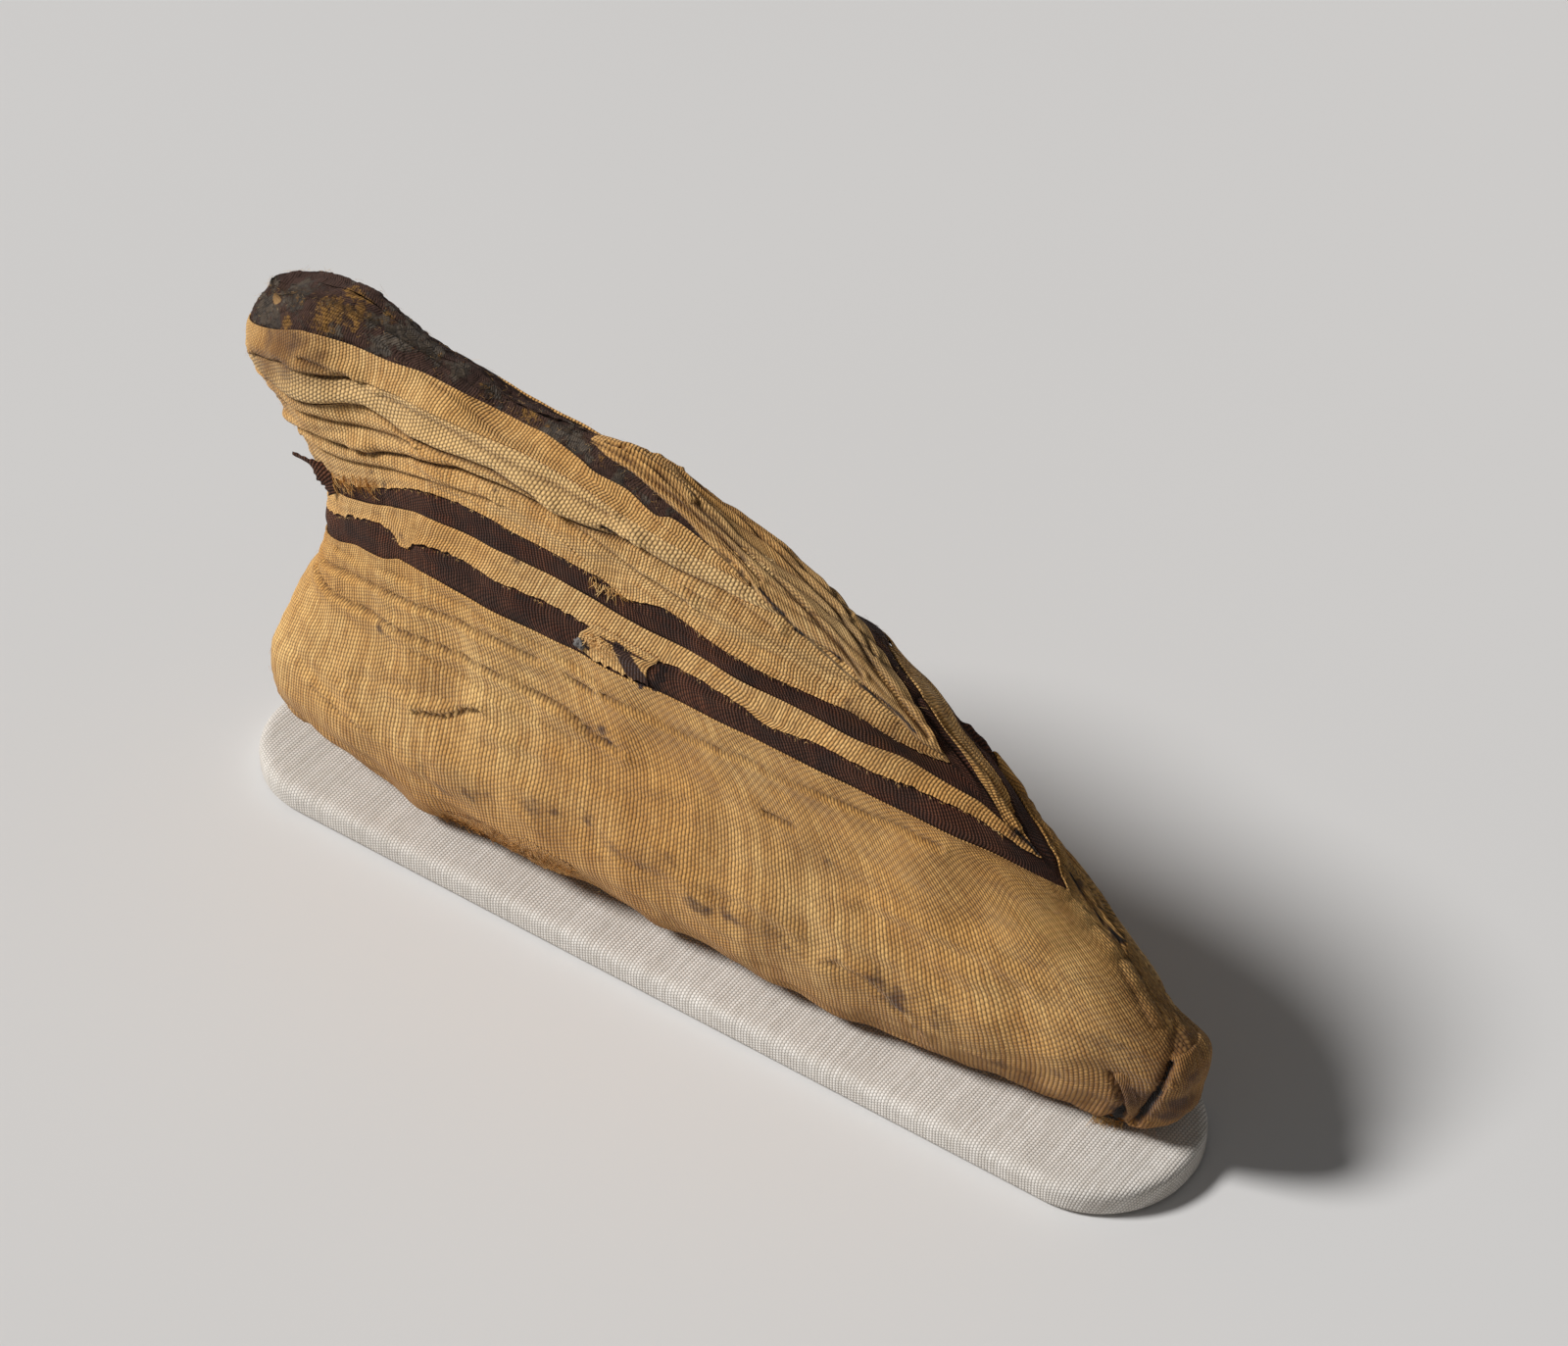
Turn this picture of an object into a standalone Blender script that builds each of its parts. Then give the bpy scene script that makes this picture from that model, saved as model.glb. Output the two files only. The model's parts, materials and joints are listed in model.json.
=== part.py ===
"""A wrapped animal mummy that lies on its linen-covered display board.

Metres, +Z up. The origin is the middle of the board's underside. The head
end is at -X, the tail end at +X, and the side that shows its stripes best
faces -Y. The mummy's layers all follow one wrapped surface, at different
depths below it, so each layer keeps its clearance to the next.
"""

import math

import bmesh
import bpy
import numpy as np
from mathutils import Matrix, Vector

for old in list(bpy.data.objects):
    bpy.data.objects.remove(old, do_unlink=True)

# Gap between two pieces that lie on each other
CLEARANCE = 0.0003

# Display board
BOARD_LENGTH = 0.380
BOARD_WIDTH = 0.070
BOARD_CORNER_RADIUS = 0.034
BOARD_EDGE_BEVEL = 0.0024
CORE_THICKNESS = 0.006
PADDING_THICKNESS = 0.0015
COVER_THICKNESS = 0.0006
COVER_HEM_WIDTH = 0.009
LINING_THICKNESS = 0.0008
LINING_INSET = 0.003

# Mummy: overall size and place on the board
MUMMY_LENGTH = 0.382
MUMMY_HEIGHT = 0.1955
MUMMY_WIDTH = 0.066
MUMMY_HEAD_X = -0.1907
MUMMY_AXIS_Y = 0.005

# Mummy: layers
BANDAGE_THICKNESS = 0.001
RESIN_CLOTH_THICKNESS = 0.0012
HEAD_BULGE = 0.012
HEAD_BULGE_RADIUS = 0.028

# Small pieces on the outside
FRAY_THICKNESS = 0.0005
TAIL_FOLD_RISE = 0.003
LOOSE_END_REACH = 0.019
LOOSE_END_RISE = 0.016
LOOSE_END_WIDTH = 0.005
LOOSE_END_THICKNESS = 0.0009
LOOSE_END_TWIST = math.radians(70)
LOOSE_END_NARROWING = 0.6

# Bird inside. A width share is the wrapped surface's width there over the mummy's.
PACKING_WALL = 0.006
HEAD_PACKING_WALL = 0.0035
TORSO_WIDTH_SHARE = 0.98
TORSO_HEIGHT = 0.0605
SKULL_WIDTH_SHARE = 0.28
WING_THICKNESS = 0.0035
WING_HEIGHT = 0.0303
WING_TIP_NARROWING = 0.006
NECK_ROOT_RADIUS = 0.0105
NECK_RADIUS = 0.0075
NECK_TOP_RADIUS = 0.0064
BEAK_LENGTH = 0.012
BEAK_RADIUS = 0.004
BEAK_TIP_RADIUS = 0.001
BEAK_DROOP = Vector((-0.3, 0, -1))
THIGH_RADIUS = 0.0048
SHANK_RADIUS = 0.003
TOE_RADIUS = 0.0018
LEG_SPACING = 0.014
TAIL_FEATHER_THICKNESS = 0.003
TAIL_FEATHER_ROOT_WIDTH = 0.008
TAIL_FEATHER_WIDTH = 0.018

# Shape of the wrapped surface. Each level is a line round the body, from
# below to the top of the head: its name, five side-view points from the front
# to the back in percent of the mummy's length and height, and its width in
# percent of the mummy's width.
LEVELS = (
    ("seam", ((10.7, 0), (30, 0), (49.9, 0), (69.6, 0), (89.2, 0)), 12),
    ("foot", ((4.9, 0), (27.9, 0), (49.9, 0), (71.9, 0), (93.9, 0)), 34),
    ("keel", ((0.6, 5.3), (25.3, 4.5), (49.9, 4.5), (73.5, 4.7), (97.8, 6.1)), 78),
    ("belly", ((0.2, 16), (24.5, 16.9), (49.9, 16.9), (74.5, 16.4), (99.4, 17.4)), 100),
    ("flank", ((4.5, 33.2), (26.7, 42.5), (50.8, 43.5), (72.8, 39.9), (93.5, 32.2)), 95),
    ("low_stripe", ((8.1, 47.6), (25.9, 60.4), (46.1, 61.4), (67, 56.8), (85.9, 45.5)), 83),
    ("low_stripe_top", ((8.4, 53.2), (26.4, 66.5), (45.5, 66.5), (65.4, 61.9), (83.8, 49.6)), 79),
    ("high_stripe", ((8.6, 57.3), (26.7, 72.6), (45, 72.1), (63.4, 67.8), (80.1, 55.2)), 74),
    ("high_stripe_top", ((8.4, 60.9), (26.7, 77.5), (44.2, 76), (61.3, 71.4), (76.4, 61.9)), 67),
    ("pleats_top", ((4.7, 72.1), (24.6, 84.9), (41.6, 82.9), (54.7, 78.3), (69.6, 70.6)), 57),
    ("weave_top", ((1, 79.5), (19.4, 91.6), (36.4, 89.2), (50.8, 84.4), (62.5, 78.3)), 44),
    ("brow", ((0.5, 86.5), (14.1, 96), (28.5, 92.3), (42, 90), (53.5, 85)), 27),
    ("crown", ((2.6, 95.7), (11.5, 100), (26.7, 94.3), (39.5, 93.5), (48, 89.5)), 11),
)
HEAD_CENTRE = (7.3, 87)

# Plan shape: the lower the number, the blunter the end
FRONT_POINT = 0.68
BACK_POINT = 0.88
TAIL_TAPER = 0.18
COLUMNS = 36

# The far side falls away more steeply at the nape: the middle and reach in levels and in turn, and how much
NAPE_LEVEL = 10.5
NAPE_LEVELS = 1.8
NAPE_TURN = 4.93
NAPE_REACH = 0.42
NAPE_NARROWING = 0.4

# A band's lower edge is tucked under the band below, and then steps out
TUCK_SHARE = 0.4
STEP_SHARE = 0.3

# Worked out from the sizes above
BAND_TUCK_DEPTH = BANDAGE_THICKNESS + CLEARANCE
RESIN_DEPTH = BAND_TUCK_DEPTH + BANDAGE_THICKNESS + CLEARANCE
PACKING_DEPTH = RESIN_DEPTH + RESIN_CLOTH_THICKNESS + CLEARANCE
HEM_BOTTOM = LINING_THICKNESS + CLEARANCE
CORE_BOTTOM = HEM_BOTTOM + COVER_THICKNESS + CLEARANCE
CORE_TOP = CORE_BOTTOM + CORE_THICKNESS
PADDING_BOTTOM = CORE_TOP + CLEARANCE
PADDING_TOP = PADDING_BOTTOM + PADDING_THICKNESS
BOARD_TOP = PADDING_TOP + CLEARANCE + COVER_THICKNESS
MUMMY_BOTTOM = BOARD_TOP + CLEARANCE

LEVEL_NUMBER = {name: number for number, (name, _, _) in enumerate(LEVELS)}
LAST_LEVEL = len(LEVELS) - 1
SIDE_POINTS = np.array([points for _, points, _ in LEVELS], float) / 100
HALF_WIDTHS = np.array([width for _, _, width in LEVELS], float) / 100 * MUMMY_WIDTH / 2


# Materials and objects

def material(name, colour, roughness, metallic=0.0):
    made = bpy.data.materials.new(name)
    made.use_nodes = True
    shader = made.node_tree.nodes["Principled BSDF"]
    shader.inputs["Base Color"].default_value = (*colour, 1)
    shader.inputs["Roughness"].default_value = roughness
    shader.inputs["Metallic"].default_value = metallic
    return made


TAN_LINEN = ((0.52, 0.29, 0.10), 0.9)
PALE_LINEN = ((0.58, 0.36, 0.15), 0.9)
DARK_LINEN = ((0.045, 0.018, 0.014), 0.9)
RESIN_LINEN = ((0.05, 0.035, 0.028), 0.6)
INNER_LINEN = ((0.42, 0.30, 0.17), 0.95)
BOARD_LINEN = ((0.62, 0.58, 0.53), 0.95)
GREY_BOARD = ((0.45, 0.42, 0.38), 0.8)
PADDING = ((0.8, 0.78, 0.72), 1.0)
BONE = ((0.55, 0.42, 0.26), 0.6)
FLESH = ((0.16, 0.09, 0.05), 0.75)
FEATHER = ((0.12, 0.08, 0.05), 0.8)
HORN = ((0.08, 0.06, 0.05), 0.5)


def add_object(name, points, faces, finish):
    mesh = bpy.data.meshes.new(name)
    mesh.from_pydata([tuple(point) for point in points], [], faces)
    mesh.validate()
    mesh.shade_smooth()
    mesh.set_sharp_from_angle(angle=math.radians(40))
    made = bpy.data.objects.new(name, mesh)
    bpy.context.scene.collection.objects.link(made)
    mesh.materials.append(material(name, *finish))
    return made


def bridge(lower, upper, count, flip=False):
    """Triangles between two closed loops of the same count, given by first index."""
    faces = []
    for j in range(count):
        k = (j + 1) % count
        a, b, c, d = lower + j, lower + k, upper + k, upper + j
        faces += [(a, c, b), (a, d, c)] if flip else [(a, b, c), (a, c, d)]
    return faces


# Display board

def board_outline(inset, height):
    """A rectangle with round corners, anticlockwise from above."""
    radius = BOARD_CORNER_RADIUS - inset
    reach_x = BOARD_LENGTH / 2 - BOARD_CORNER_RADIUS
    reach_y = BOARD_WIDTH / 2 - BOARD_CORNER_RADIUS
    steps = 8
    points = []
    for corner, (sign_x, sign_y) in enumerate(((1, 1), (-1, 1), (-1, -1), (1, -1))):
        for step in range(steps + 1):
            angle = math.pi / 2 * (corner + step / steps)
            x = sign_x * reach_x + radius * math.cos(angle)
            y = sign_y * reach_y + radius * math.sin(angle)
            points.append((x, y, height))
    return points


def board_piece(name, loops, finish, shell=False):
    """Joins outlines of (inset, height) from the underside up. A shell returns to its start."""
    outlines = [board_outline(inset, height) for inset, height in loops]
    count = len(outlines[0])
    points = [point for outline in outlines for point in outline]
    faces = []
    top_of_outer = len(loops) // 2 if shell else len(loops)
    for number in range(len(loops) - 1):
        if number != top_of_outer - 1:
            faces += bridge(number * count, (number + 1) * count, count)
    if shell:
        faces.append(tuple(range((top_of_outer - 1) * count, top_of_outer * count)))
        faces.append(tuple(reversed(range(top_of_outer * count, (top_of_outer + 1) * count))))
        faces += bridge((len(loops) - 1) * count, 0, count)
    else:
        faces.append(tuple(range((len(loops) - 1) * count, len(loops) * count)))
        faces.append(tuple(reversed(range(count))))
    return add_object(name, points, faces, finish)


def inside_cover(height, margin):
    """Inset of a piece that keeps its margin to the cover's straight side and bevel."""
    knee = BOARD_TOP - BOARD_EDGE_BEVEL - (math.sqrt(2) - 1) * (COVER_THICKNESS + margin)
    return COVER_THICKNESS + margin + max(0.0, height - knee)


def make_board():
    board_piece(
        "underside_lining",
        [(LINING_INSET, 0), (LINING_INSET, LINING_THICKNESS)],
        BOARD_LINEN,
    )
    core_loops = [
        (inside_cover(height, CLEARANCE), height)
        for height in (CORE_BOTTOM, CORE_TOP - CORE_THICKNESS / 8, CORE_TOP)
    ]
    board_piece("support_board", core_loops, GREY_BOARD)
    padding_loops = [
        (inside_cover(height, CLEARANCE), height) for height in (PADDING_BOTTOM, PADDING_TOP)
    ]
    board_piece("board_padding", padding_loops, PADDING)
    side_top = BOARD_TOP - BOARD_EDGE_BEVEL
    inner_top = BOARD_TOP - COVER_THICKNESS
    inner_knee = side_top - (math.sqrt(2) - 1) * COVER_THICKNESS
    cover_loops = [
        (COVER_HEM_WIDTH, HEM_BOTTOM),
        (0, HEM_BOTTOM),
        (0, side_top),
        (BOARD_EDGE_BEVEL, BOARD_TOP),
        (inside_cover(inner_top, 0), inner_top),
        (COVER_THICKNESS, inner_knee),
        (COVER_THICKNESS, HEM_BOTTOM + COVER_THICKNESS),
        (COVER_HEM_WIDTH, HEM_BOTTOM + COVER_THICKNESS),
    ]
    board_piece("board_linen_cover", cover_loops, BOARD_LINEN, shell=True)


# Wrapped surface

def smooth(values, place):
    """A smooth curve through evenly spaced values, read at a fractional place."""
    last = len(values) - 1
    index = min(int(place), last - 1)
    t = place - index
    p1 = values[index]
    p2 = values[index + 1]
    p0 = values[index - 1] if index else 2 * p1 - p2
    p3 = values[index + 2] if index + 2 <= last else 2 * p2 - p1
    return p1 + 0.5 * t * (p2 - p0 + t * (2 * p0 - 5 * p1 + 4 * p2 - p3 + t * (3 * (p1 - p2) + p3 - p0)))


def side_place(level, along):
    """Side-view point of a level, along from 0 at the front to 1 at the back."""
    points = np.array([smooth(SIDE_POINTS[:, column], level) for column in range(5)])
    x, z = smooth(points, 4 * along)
    return np.array((MUMMY_HEAD_X + x * MUMMY_LENGTH, MUMMY_BOTTOM + max(z, 0) * MUMMY_HEIGHT))


def end_normal(level, along):
    """Unit side-view direction into the body at the front or the back end of a level."""
    below = side_place(max(level - 0.5, 0), along)
    above = side_place(min(level + 0.5, LAST_LEVEL), along)
    rise = above - below
    inward = np.array((rise[1], -rise[0])) if along == 0 else np.array((-rise[1], rise[0]))
    return inward / np.linalg.norm(inward)


def side_lean(level):
    """How much of the inward direction at mid length is upward: 1 below, -1 on the crown."""
    leans = [1.0, 1.0]
    for number in range(2, LAST_LEVEL):
        rise = side_place(number + 0.5, 0.5)[1] - side_place(number - 0.5, 0.5)[1]
        widening = smooth(HALF_WIDTHS, number + 0.5) - smooth(HALF_WIDTHS, number - 0.5)
        leans.append(widening / math.hypot(rise, widening))
    leans.append(-1.0)
    return smooth(np.array(leans), level)


def wrap_row(level, depth, columns=range(COLUMNS)):
    """Points of one level at a depth below the wrapped surface, from the front round the near side."""
    front = end_normal(level, 0)
    back = end_normal(level, 1)
    lean = max(-1.0, min(1.0, side_lean(level)))
    sideways = math.sqrt(1 - lean * lean)
    width = smooth(HALF_WIDTHS, level)
    head = np.array((
        MUMMY_HEAD_X + HEAD_CENTRE[0] / 100 * MUMMY_LENGTH,
        MUMMY_BOTTOM + HEAD_CENTRE[1] / 100 * MUMMY_HEIGHT,
    ))
    row = []
    for column in columns:
        turn = 2 * math.pi * column / COLUMNS
        forward = math.cos(turn)
        outward = abs(math.sin(turn)) if column % (COLUMNS // 2) else 0.0
        place = side_place(level, (1 - forward) / 2)
        distance = np.linalg.norm(place - head) / HEAD_BULGE_RADIUS
        bulge = HEAD_BULGE * math.exp(-distance * distance)
        off_level = (level - NAPE_LEVEL) / NAPE_LEVELS
        off_turn = (turn - NAPE_TURN) / NAPE_REACH
        nape = 1 - NAPE_NARROWING * math.exp(-off_level * off_level - off_turn * off_turn)
        half = width * (1 + TAIL_TAPER * forward) * nape + bulge - depth * sideways
        place = place + depth * (max(forward, 0) * front + max(-forward, 0) * back)
        side = -1 if column <= COLUMNS // 2 else 1
        point = (FRONT_POINT * (1 + forward) + BACK_POINT * (1 - forward)) / 2
        y = MUMMY_AXIS_Y + side * half * outward ** point
        row.append((place[0], y, place[1] + depth * lean * outward))
    return row


def distinct(corners):
    """Leaves out a corner that comes a second time."""
    return [corner for number, corner in enumerate(corners) if corner not in corners[:number]]


def ladder(first, count, flip):
    """Closes a long loop by rungs from its near side to its far side."""
    faces = []
    half = count // 2
    for j in range(half):
        a, b = first + j, first + j + 1
        c, d = first + (count - j - 1), first + (count - j) % count
        corners = distinct([a, b, c, d])
        for k in range(1, len(corners) - 1):
            face = (corners[0], corners[k], corners[k + 1])
            faces.append(face[::-1] if flip else face)
    return faces


def wrap_shell(name, outer, inner, finish, domed=False):
    """A closed cloth ring between outer and inner rows of (level, depth), listed from below."""
    rows = [wrap_row(level, depth) for level, depth in outer]
    rows += [wrap_row(level, depth) for level, depth in inner]
    points = [point for row in rows for point in row]
    faces = []
    for number in range(len(outer) - 1):
        faces += bridge(number * COLUMNS, (number + 1) * COLUMNS, COLUMNS)
    first_inner = len(outer) * COLUMNS
    for number in range(len(inner) - 1):
        lower = first_inner + number * COLUMNS
        faces += bridge(lower, lower + COLUMNS, COLUMNS, flip=True)
    faces += bridge(0, first_inner, COLUMNS, flip=True)
    last_outer = (len(outer) - 1) * COLUMNS
    last_inner = (len(rows) - 1) * COLUMNS
    if domed:
        faces += ladder(last_outer, COLUMNS, flip=False)
        faces += ladder(last_inner, COLUMNS, flip=True)
    else:
        faces += bridge(last_outer, last_inner, COLUMNS)
    return add_object(name, points, faces, finish)


def make_band(name, level_name, finish):
    """A bandage turn: tucked under the band below it, then stepping out to lie flush."""
    start = LEVEL_NUMBER[level_name]
    tuck = start - TUCK_SHARE
    step = start + STEP_SHARE
    next_tuck = start + 1 - TUCK_SHARE
    end = start + 1
    outer = [(tuck, BAND_TUCK_DEPTH), (start, BAND_TUCK_DEPTH), (step, 0), (end, 0)]
    tuck_inside = BAND_TUCK_DEPTH + BANDAGE_THICKNESS
    inner = [(tuck, tuck_inside), (start, tuck_inside)]
    inner += [(level, BANDAGE_THICKNESS) for level in (step, next_tuck, end)]
    return wrap_shell(name, outer, inner, finish)


def make_wrappings():
    shroud_end = LEVEL_NUMBER["low_stripe"]
    shroud_levels = [0.5 * number for number in range(1, 2 * shroud_end + 1)]
    shroud_inside = sorted(shroud_levels + [shroud_end - TUCK_SHARE])
    wrap_shell(
        "lower_shroud",
        [(level, 0) for level in shroud_levels],
        [(level, BANDAGE_THICKNESS) for level in shroud_inside],
        TAN_LINEN,
    )
    make_band("lower_dark_strip", "low_stripe", DARK_LINEN)
    make_band("lower_tan_strip", "low_stripe_top", TAN_LINEN)
    make_band("upper_dark_strip", "high_stripe", DARK_LINEN)
    make_band("pleated_band", "high_stripe_top", TAN_LINEN)
    make_band("open_weave_band", "pleats_top", PALE_LINEN)
    make_band("head_band", "weave_top", TAN_LINEN)
    tucks = [number - TUCK_SHARE for number in range(shroud_end, LEVEL_NUMBER["brow"])]
    outer_levels = sorted([float(number) for number in range(LAST_LEVEL + 1)] + tucks)
    wrap_shell(
        "resin_shroud",
        [(level, RESIN_DEPTH) for level in outer_levels],
        [(level, RESIN_DEPTH + RESIN_CLOTH_THICKNESS) for level in range(LAST_LEVEL + 1)],
        RESIN_LINEN,
        domed=True,
    )


def wrap_patch(name, levels, columns, thickness, rise, finish):
    """A small cloth piece that lies on the outside of the wrapped surface."""
    outer = []
    inner = []
    for row, level in enumerate(levels):
        arch = math.sin(math.pi * row / (len(levels) - 1))
        flat = wrap_row(level, -CLEARANCE, columns)
        near = wrap_row(level, -CLEARANCE - thickness, columns)
        far = wrap_row(level, -CLEARANCE - thickness - rise, columns)
        for number, (low, high) in enumerate(zip(near, far)):
            swell = arch * math.sin(math.pi * number / (len(columns) - 1))
            outer.append(tuple(Vector(low).lerp(Vector(high), swell)))
        inner += flat
    count = len(columns)
    total = len(outer)
    faces = []
    for row in range(len(levels) - 1):
        for column in range(count - 1):
            a = row * count + column
            b, c, d = a + 1, a + count + 1, a + count
            faces += [(a, b, c), (a, c, d)]
            faces += [(a + total, c + total, b + total), (a + total, d + total, c + total)]
    rim = list(range(count))
    rim += [row * count + count - 1 for row in range(1, len(levels))]
    rim += [total - 2 - column for column in range(count - 1)]
    rim += [row * count for row in range(len(levels) - 2, 0, -1)]
    for a, b in zip(rim, rim[1:] + rim[:1]):
        faces += [(b, a, a + total), (b, a + total, b + total)]
    return add_object(name, outer + inner, faces, finish)


def make_small_outside_pieces():
    keel = LEVEL_NUMBER["keel"]
    belly = LEVEL_NUMBER["belly"]
    wrap_patch(
        "frayed_hem",
        [keel - 0.5, keel, keel + 0.5],
        list(range(5, 9)),
        FRAY_THICKNESS,
        FRAY_THICKNESS,
        TAN_LINEN,
    )
    middle = COLUMNS // 2
    wrap_patch(
        "tail_fold",
        [belly - 0.5, belly, belly + 0.5],
        list(range(middle - 2, middle + 3)),
        BANDAGE_THICKNESS,
        TAIL_FOLD_RISE,
        TAN_LINEN,
    )
    make_loose_end()


def make_loose_end():
    """The strip's free end, which starts flat on the front of the waist and curls away."""
    level = LEVEL_NUMBER["high_stripe"] + STEP_SHARE
    lift = CLEARANCE + LOOSE_END_THICKNESS
    root = Vector(wrap_row(level, -lift, [0])[0])
    sections = 7
    half = LOOSE_END_WIDTH / 2
    through = Vector((LOOSE_END_RISE, 0, LOOSE_END_REACH)).normalized() * LOOSE_END_THICKNESS / 2
    points = []
    for number in range(sections):
        share = number / (sections - 1)
        centre = root + Vector((-LOOSE_END_REACH * share, 0, LOOSE_END_RISE * share ** 1.3))
        twist = LOOSE_END_TWIST * share
        reach = half * (1 - LOOSE_END_NARROWING * share)
        across = Vector((0, math.cos(twist), math.sin(twist))) * reach
        points += [centre - across - through, centre + across - through]
        points += [centre + across + through, centre - across + through]
    faces = []
    for number in range(sections - 1):
        faces += bridge(4 * number, 4 * number + 4, 4, flip=True)
    faces += [(0, 1, 2), (0, 2, 3)]
    last = 4 * (sections - 1)
    faces += [(last, last + 2, last + 1), (last, last + 3, last + 2)]
    return add_object("loose_strip_end", points, faces, DARK_LINEN)


# Bird inside

def envelope(x, y, z):
    """World place from percent of length, metres off the middle plane, and percent of height."""
    return Vector((
        MUMMY_HEAD_X + x / 100 * MUMMY_LENGTH,
        MUMMY_AXIS_Y + y,
        MUMMY_BOTTOM + z / 100 * MUMMY_HEIGHT,
    ))


def ellipsoid(start, end, thick, high, grow, segments=16, rings=10):
    """Points and faces of an ellipsoid from start to end, thick along Y and high across."""
    axis = end - start
    turn = Matrix.Rotation(-math.atan2(axis.z, axis.x), 4, "Y")
    turn @= Matrix.Rotation(math.atan2(axis.y, math.hypot(axis.x, axis.z)), 4, "Z")
    size = Matrix.Diagonal((axis.length / 2 + grow, thick / 2 + grow, high / 2 + grow, 1))
    shape = bmesh.new()
    pose = Matrix.Translation((start + end) / 2) @ turn @ size @ Matrix.Rotation(math.pi / 2, 4, "Y")
    bmesh.ops.create_uvsphere(shape, u_segments=segments, v_segments=rings, radius=1, matrix=pose)
    return shape


def facing_out(shape):
    """Turns a closed shape's faces outwards."""
    bmesh.ops.recalc_face_normals(shape, faces=shape.faces)
    if shape.calc_volume(signed=True) < 0:
        bmesh.ops.reverse_faces(shape, faces=shape.faces)
    return shape


def tube(points, radii, grow, sides=8):
    """A tube with round section through points, closed by flat ends."""
    shape = bmesh.new()
    loops = []
    for number, (point, radius) in enumerate(zip(points, radii)):
        before = points[max(number - 1, 0)]
        after = points[min(number + 1, len(points) - 1)]
        along = (after - before).normalized()
        if number == 0:
            point = point - along * grow
        if number == len(points) - 1:
            point = point + along * grow
        first = along.cross(Vector((0, 1, 0))).normalized()
        second = along.cross(first)
        loop = []
        for side in range(sides):
            angle = 2 * math.pi * side / sides
            spoke = first * math.cos(angle) + second * math.sin(angle)
            loop.append(shape.verts.new(point + spoke * (radius + grow)))
        loops.append(loop)
    for lower, upper in zip(loops, loops[1:]):
        for side in range(sides):
            after = (side + 1) % sides
            shape.faces.new((lower[side], lower[after], upper[after], upper[side]))
    shape.faces.new(loops[0][::-1])
    shape.faces.new(loops[-1])
    return facing_out(shape)


def inner_half_width(share):
    """Half of the packing's width where the wrapped surface has a share of the mummy's width."""
    return share * MUMMY_WIDTH / 2 - PACKING_DEPTH


TORSO_SPACE = inner_half_width(TORSO_WIDTH_SHARE) - PACKING_WALL
TORSO_HALF_WIDTH = TORSO_SPACE - WING_THICKNESS - 2 * CLEARANCE
SKULL_HALF_WIDTH = inner_half_width(SKULL_WIDTH_SHARE) + HEAD_BULGE - HEAD_PACKING_WALL
WING_OFFSET = TORSO_HALF_WIDTH + CLEARANCE + WING_THICKNESS / 2


def torso(grow):
    width = 2 * TORSO_HALF_WIDTH
    return ellipsoid(envelope(15, 0, 37), envelope(64, 0, 26.5), width, TORSO_HEIGHT, grow, 20, 14)


def skull(grow):
    width = 2 * SKULL_HALF_WIDTH
    return ellipsoid(envelope(4.6, 0, 85.5), envelope(13.5, 0, 86.5), width, width, grow)


def beak(grow):
    root = envelope(8.6, 0, 85.5)
    tip = root + BEAK_DROOP.normalized() * (BEAK_LENGTH + SKULL_HALF_WIDTH)
    middle = (root + tip) / 2 + Vector((-BEAK_TIP_RADIUS, 0, 0))
    return tube([root, middle, tip], [BEAK_RADIUS, BEAK_RADIUS, BEAK_TIP_RADIUS], grow)


def neck(grow):
    route = [envelope(25, 0, 42), envelope(17, 0, 56), envelope(13.8, 0, 68), envelope(10.5, 0, 80)]
    radii = [NECK_ROOT_RADIUS, NECK_RADIUS, NECK_TOP_RADIUS, NECK_TOP_RADIUS]
    return tube(route, radii, grow, 10)


def wing(side):
    def shape(grow):
        start = envelope(20, side * WING_OFFSET, 39)
        end = envelope(77, side * (WING_OFFSET - WING_TIP_NARROWING), 23.5)
        return ellipsoid(start, end, WING_THICKNESS, WING_HEIGHT, grow)
    return shape


def leg(side):
    def shape(grow):
        y = side * LEG_SPACING / 2
        route = [envelope(44, y, 22), envelope(58, y, 10.5), envelope(70, y, 12), envelope(84, y, 9.5)]
        radii = [THIGH_RADIUS, SHANK_RADIUS, SHANK_RADIUS, TOE_RADIUS]
        return tube(route, radii, grow)
    return shape


def tail_feathers(grow):
    root = envelope(58, 0, 28)
    tip = envelope(88, 0, 21)
    shape = bmesh.new()
    along = (tip - root).normalized()
    up = Vector((-along.z, 0, along.x))
    loops = []
    for end, width, sign in ((root, TAIL_FEATHER_ROOT_WIDTH, -1), (tip, TAIL_FEATHER_WIDTH, 1)):
        centre = end + sign * grow * along
        half = width / 2 + grow
        thick = TAIL_FEATHER_THICKNESS / 2 + grow
        corners = ((-half, -thick), (half, -thick), (half, thick), (-half, thick))
        loops.append([shape.verts.new(centre + Vector((0, y, 0)) + up * z) for y, z in corners])
    for side in range(4):
        after = (side + 1) % 4
        shape.faces.new((loops[0][side], loops[0][after], loops[1][after], loops[1][side]))
    shape.faces.new(loops[0][::-1])
    shape.faces.new(loops[1])
    return facing_out(shape)


# From the piece that keeps its whole shape to the one that gives way to all others
BIRD = (
    ("torso", torso, FLESH),
    ("skull", skull, BONE),
    ("beak", beak, HORN),
    ("neck", neck, FLESH),
    ("near_wing", wing(-1), FEATHER),
    ("far_wing", wing(1), FEATHER),
    ("near_leg", leg(-1), BONE),
    ("far_leg", leg(1), BONE),
    ("tail_feathers", tail_feathers, FEATHER),
)


def add_shape(name, shape, finish):
    mesh = bpy.data.meshes.new(name)
    shape.to_mesh(mesh)
    shape.free()
    mesh.shade_smooth()
    mesh.set_sharp_from_angle(angle=math.radians(40))
    mesh.materials.append(material(name, *finish))
    made = bpy.data.objects.new(name, mesh)
    bpy.context.scene.collection.objects.link(made)
    return made


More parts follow.
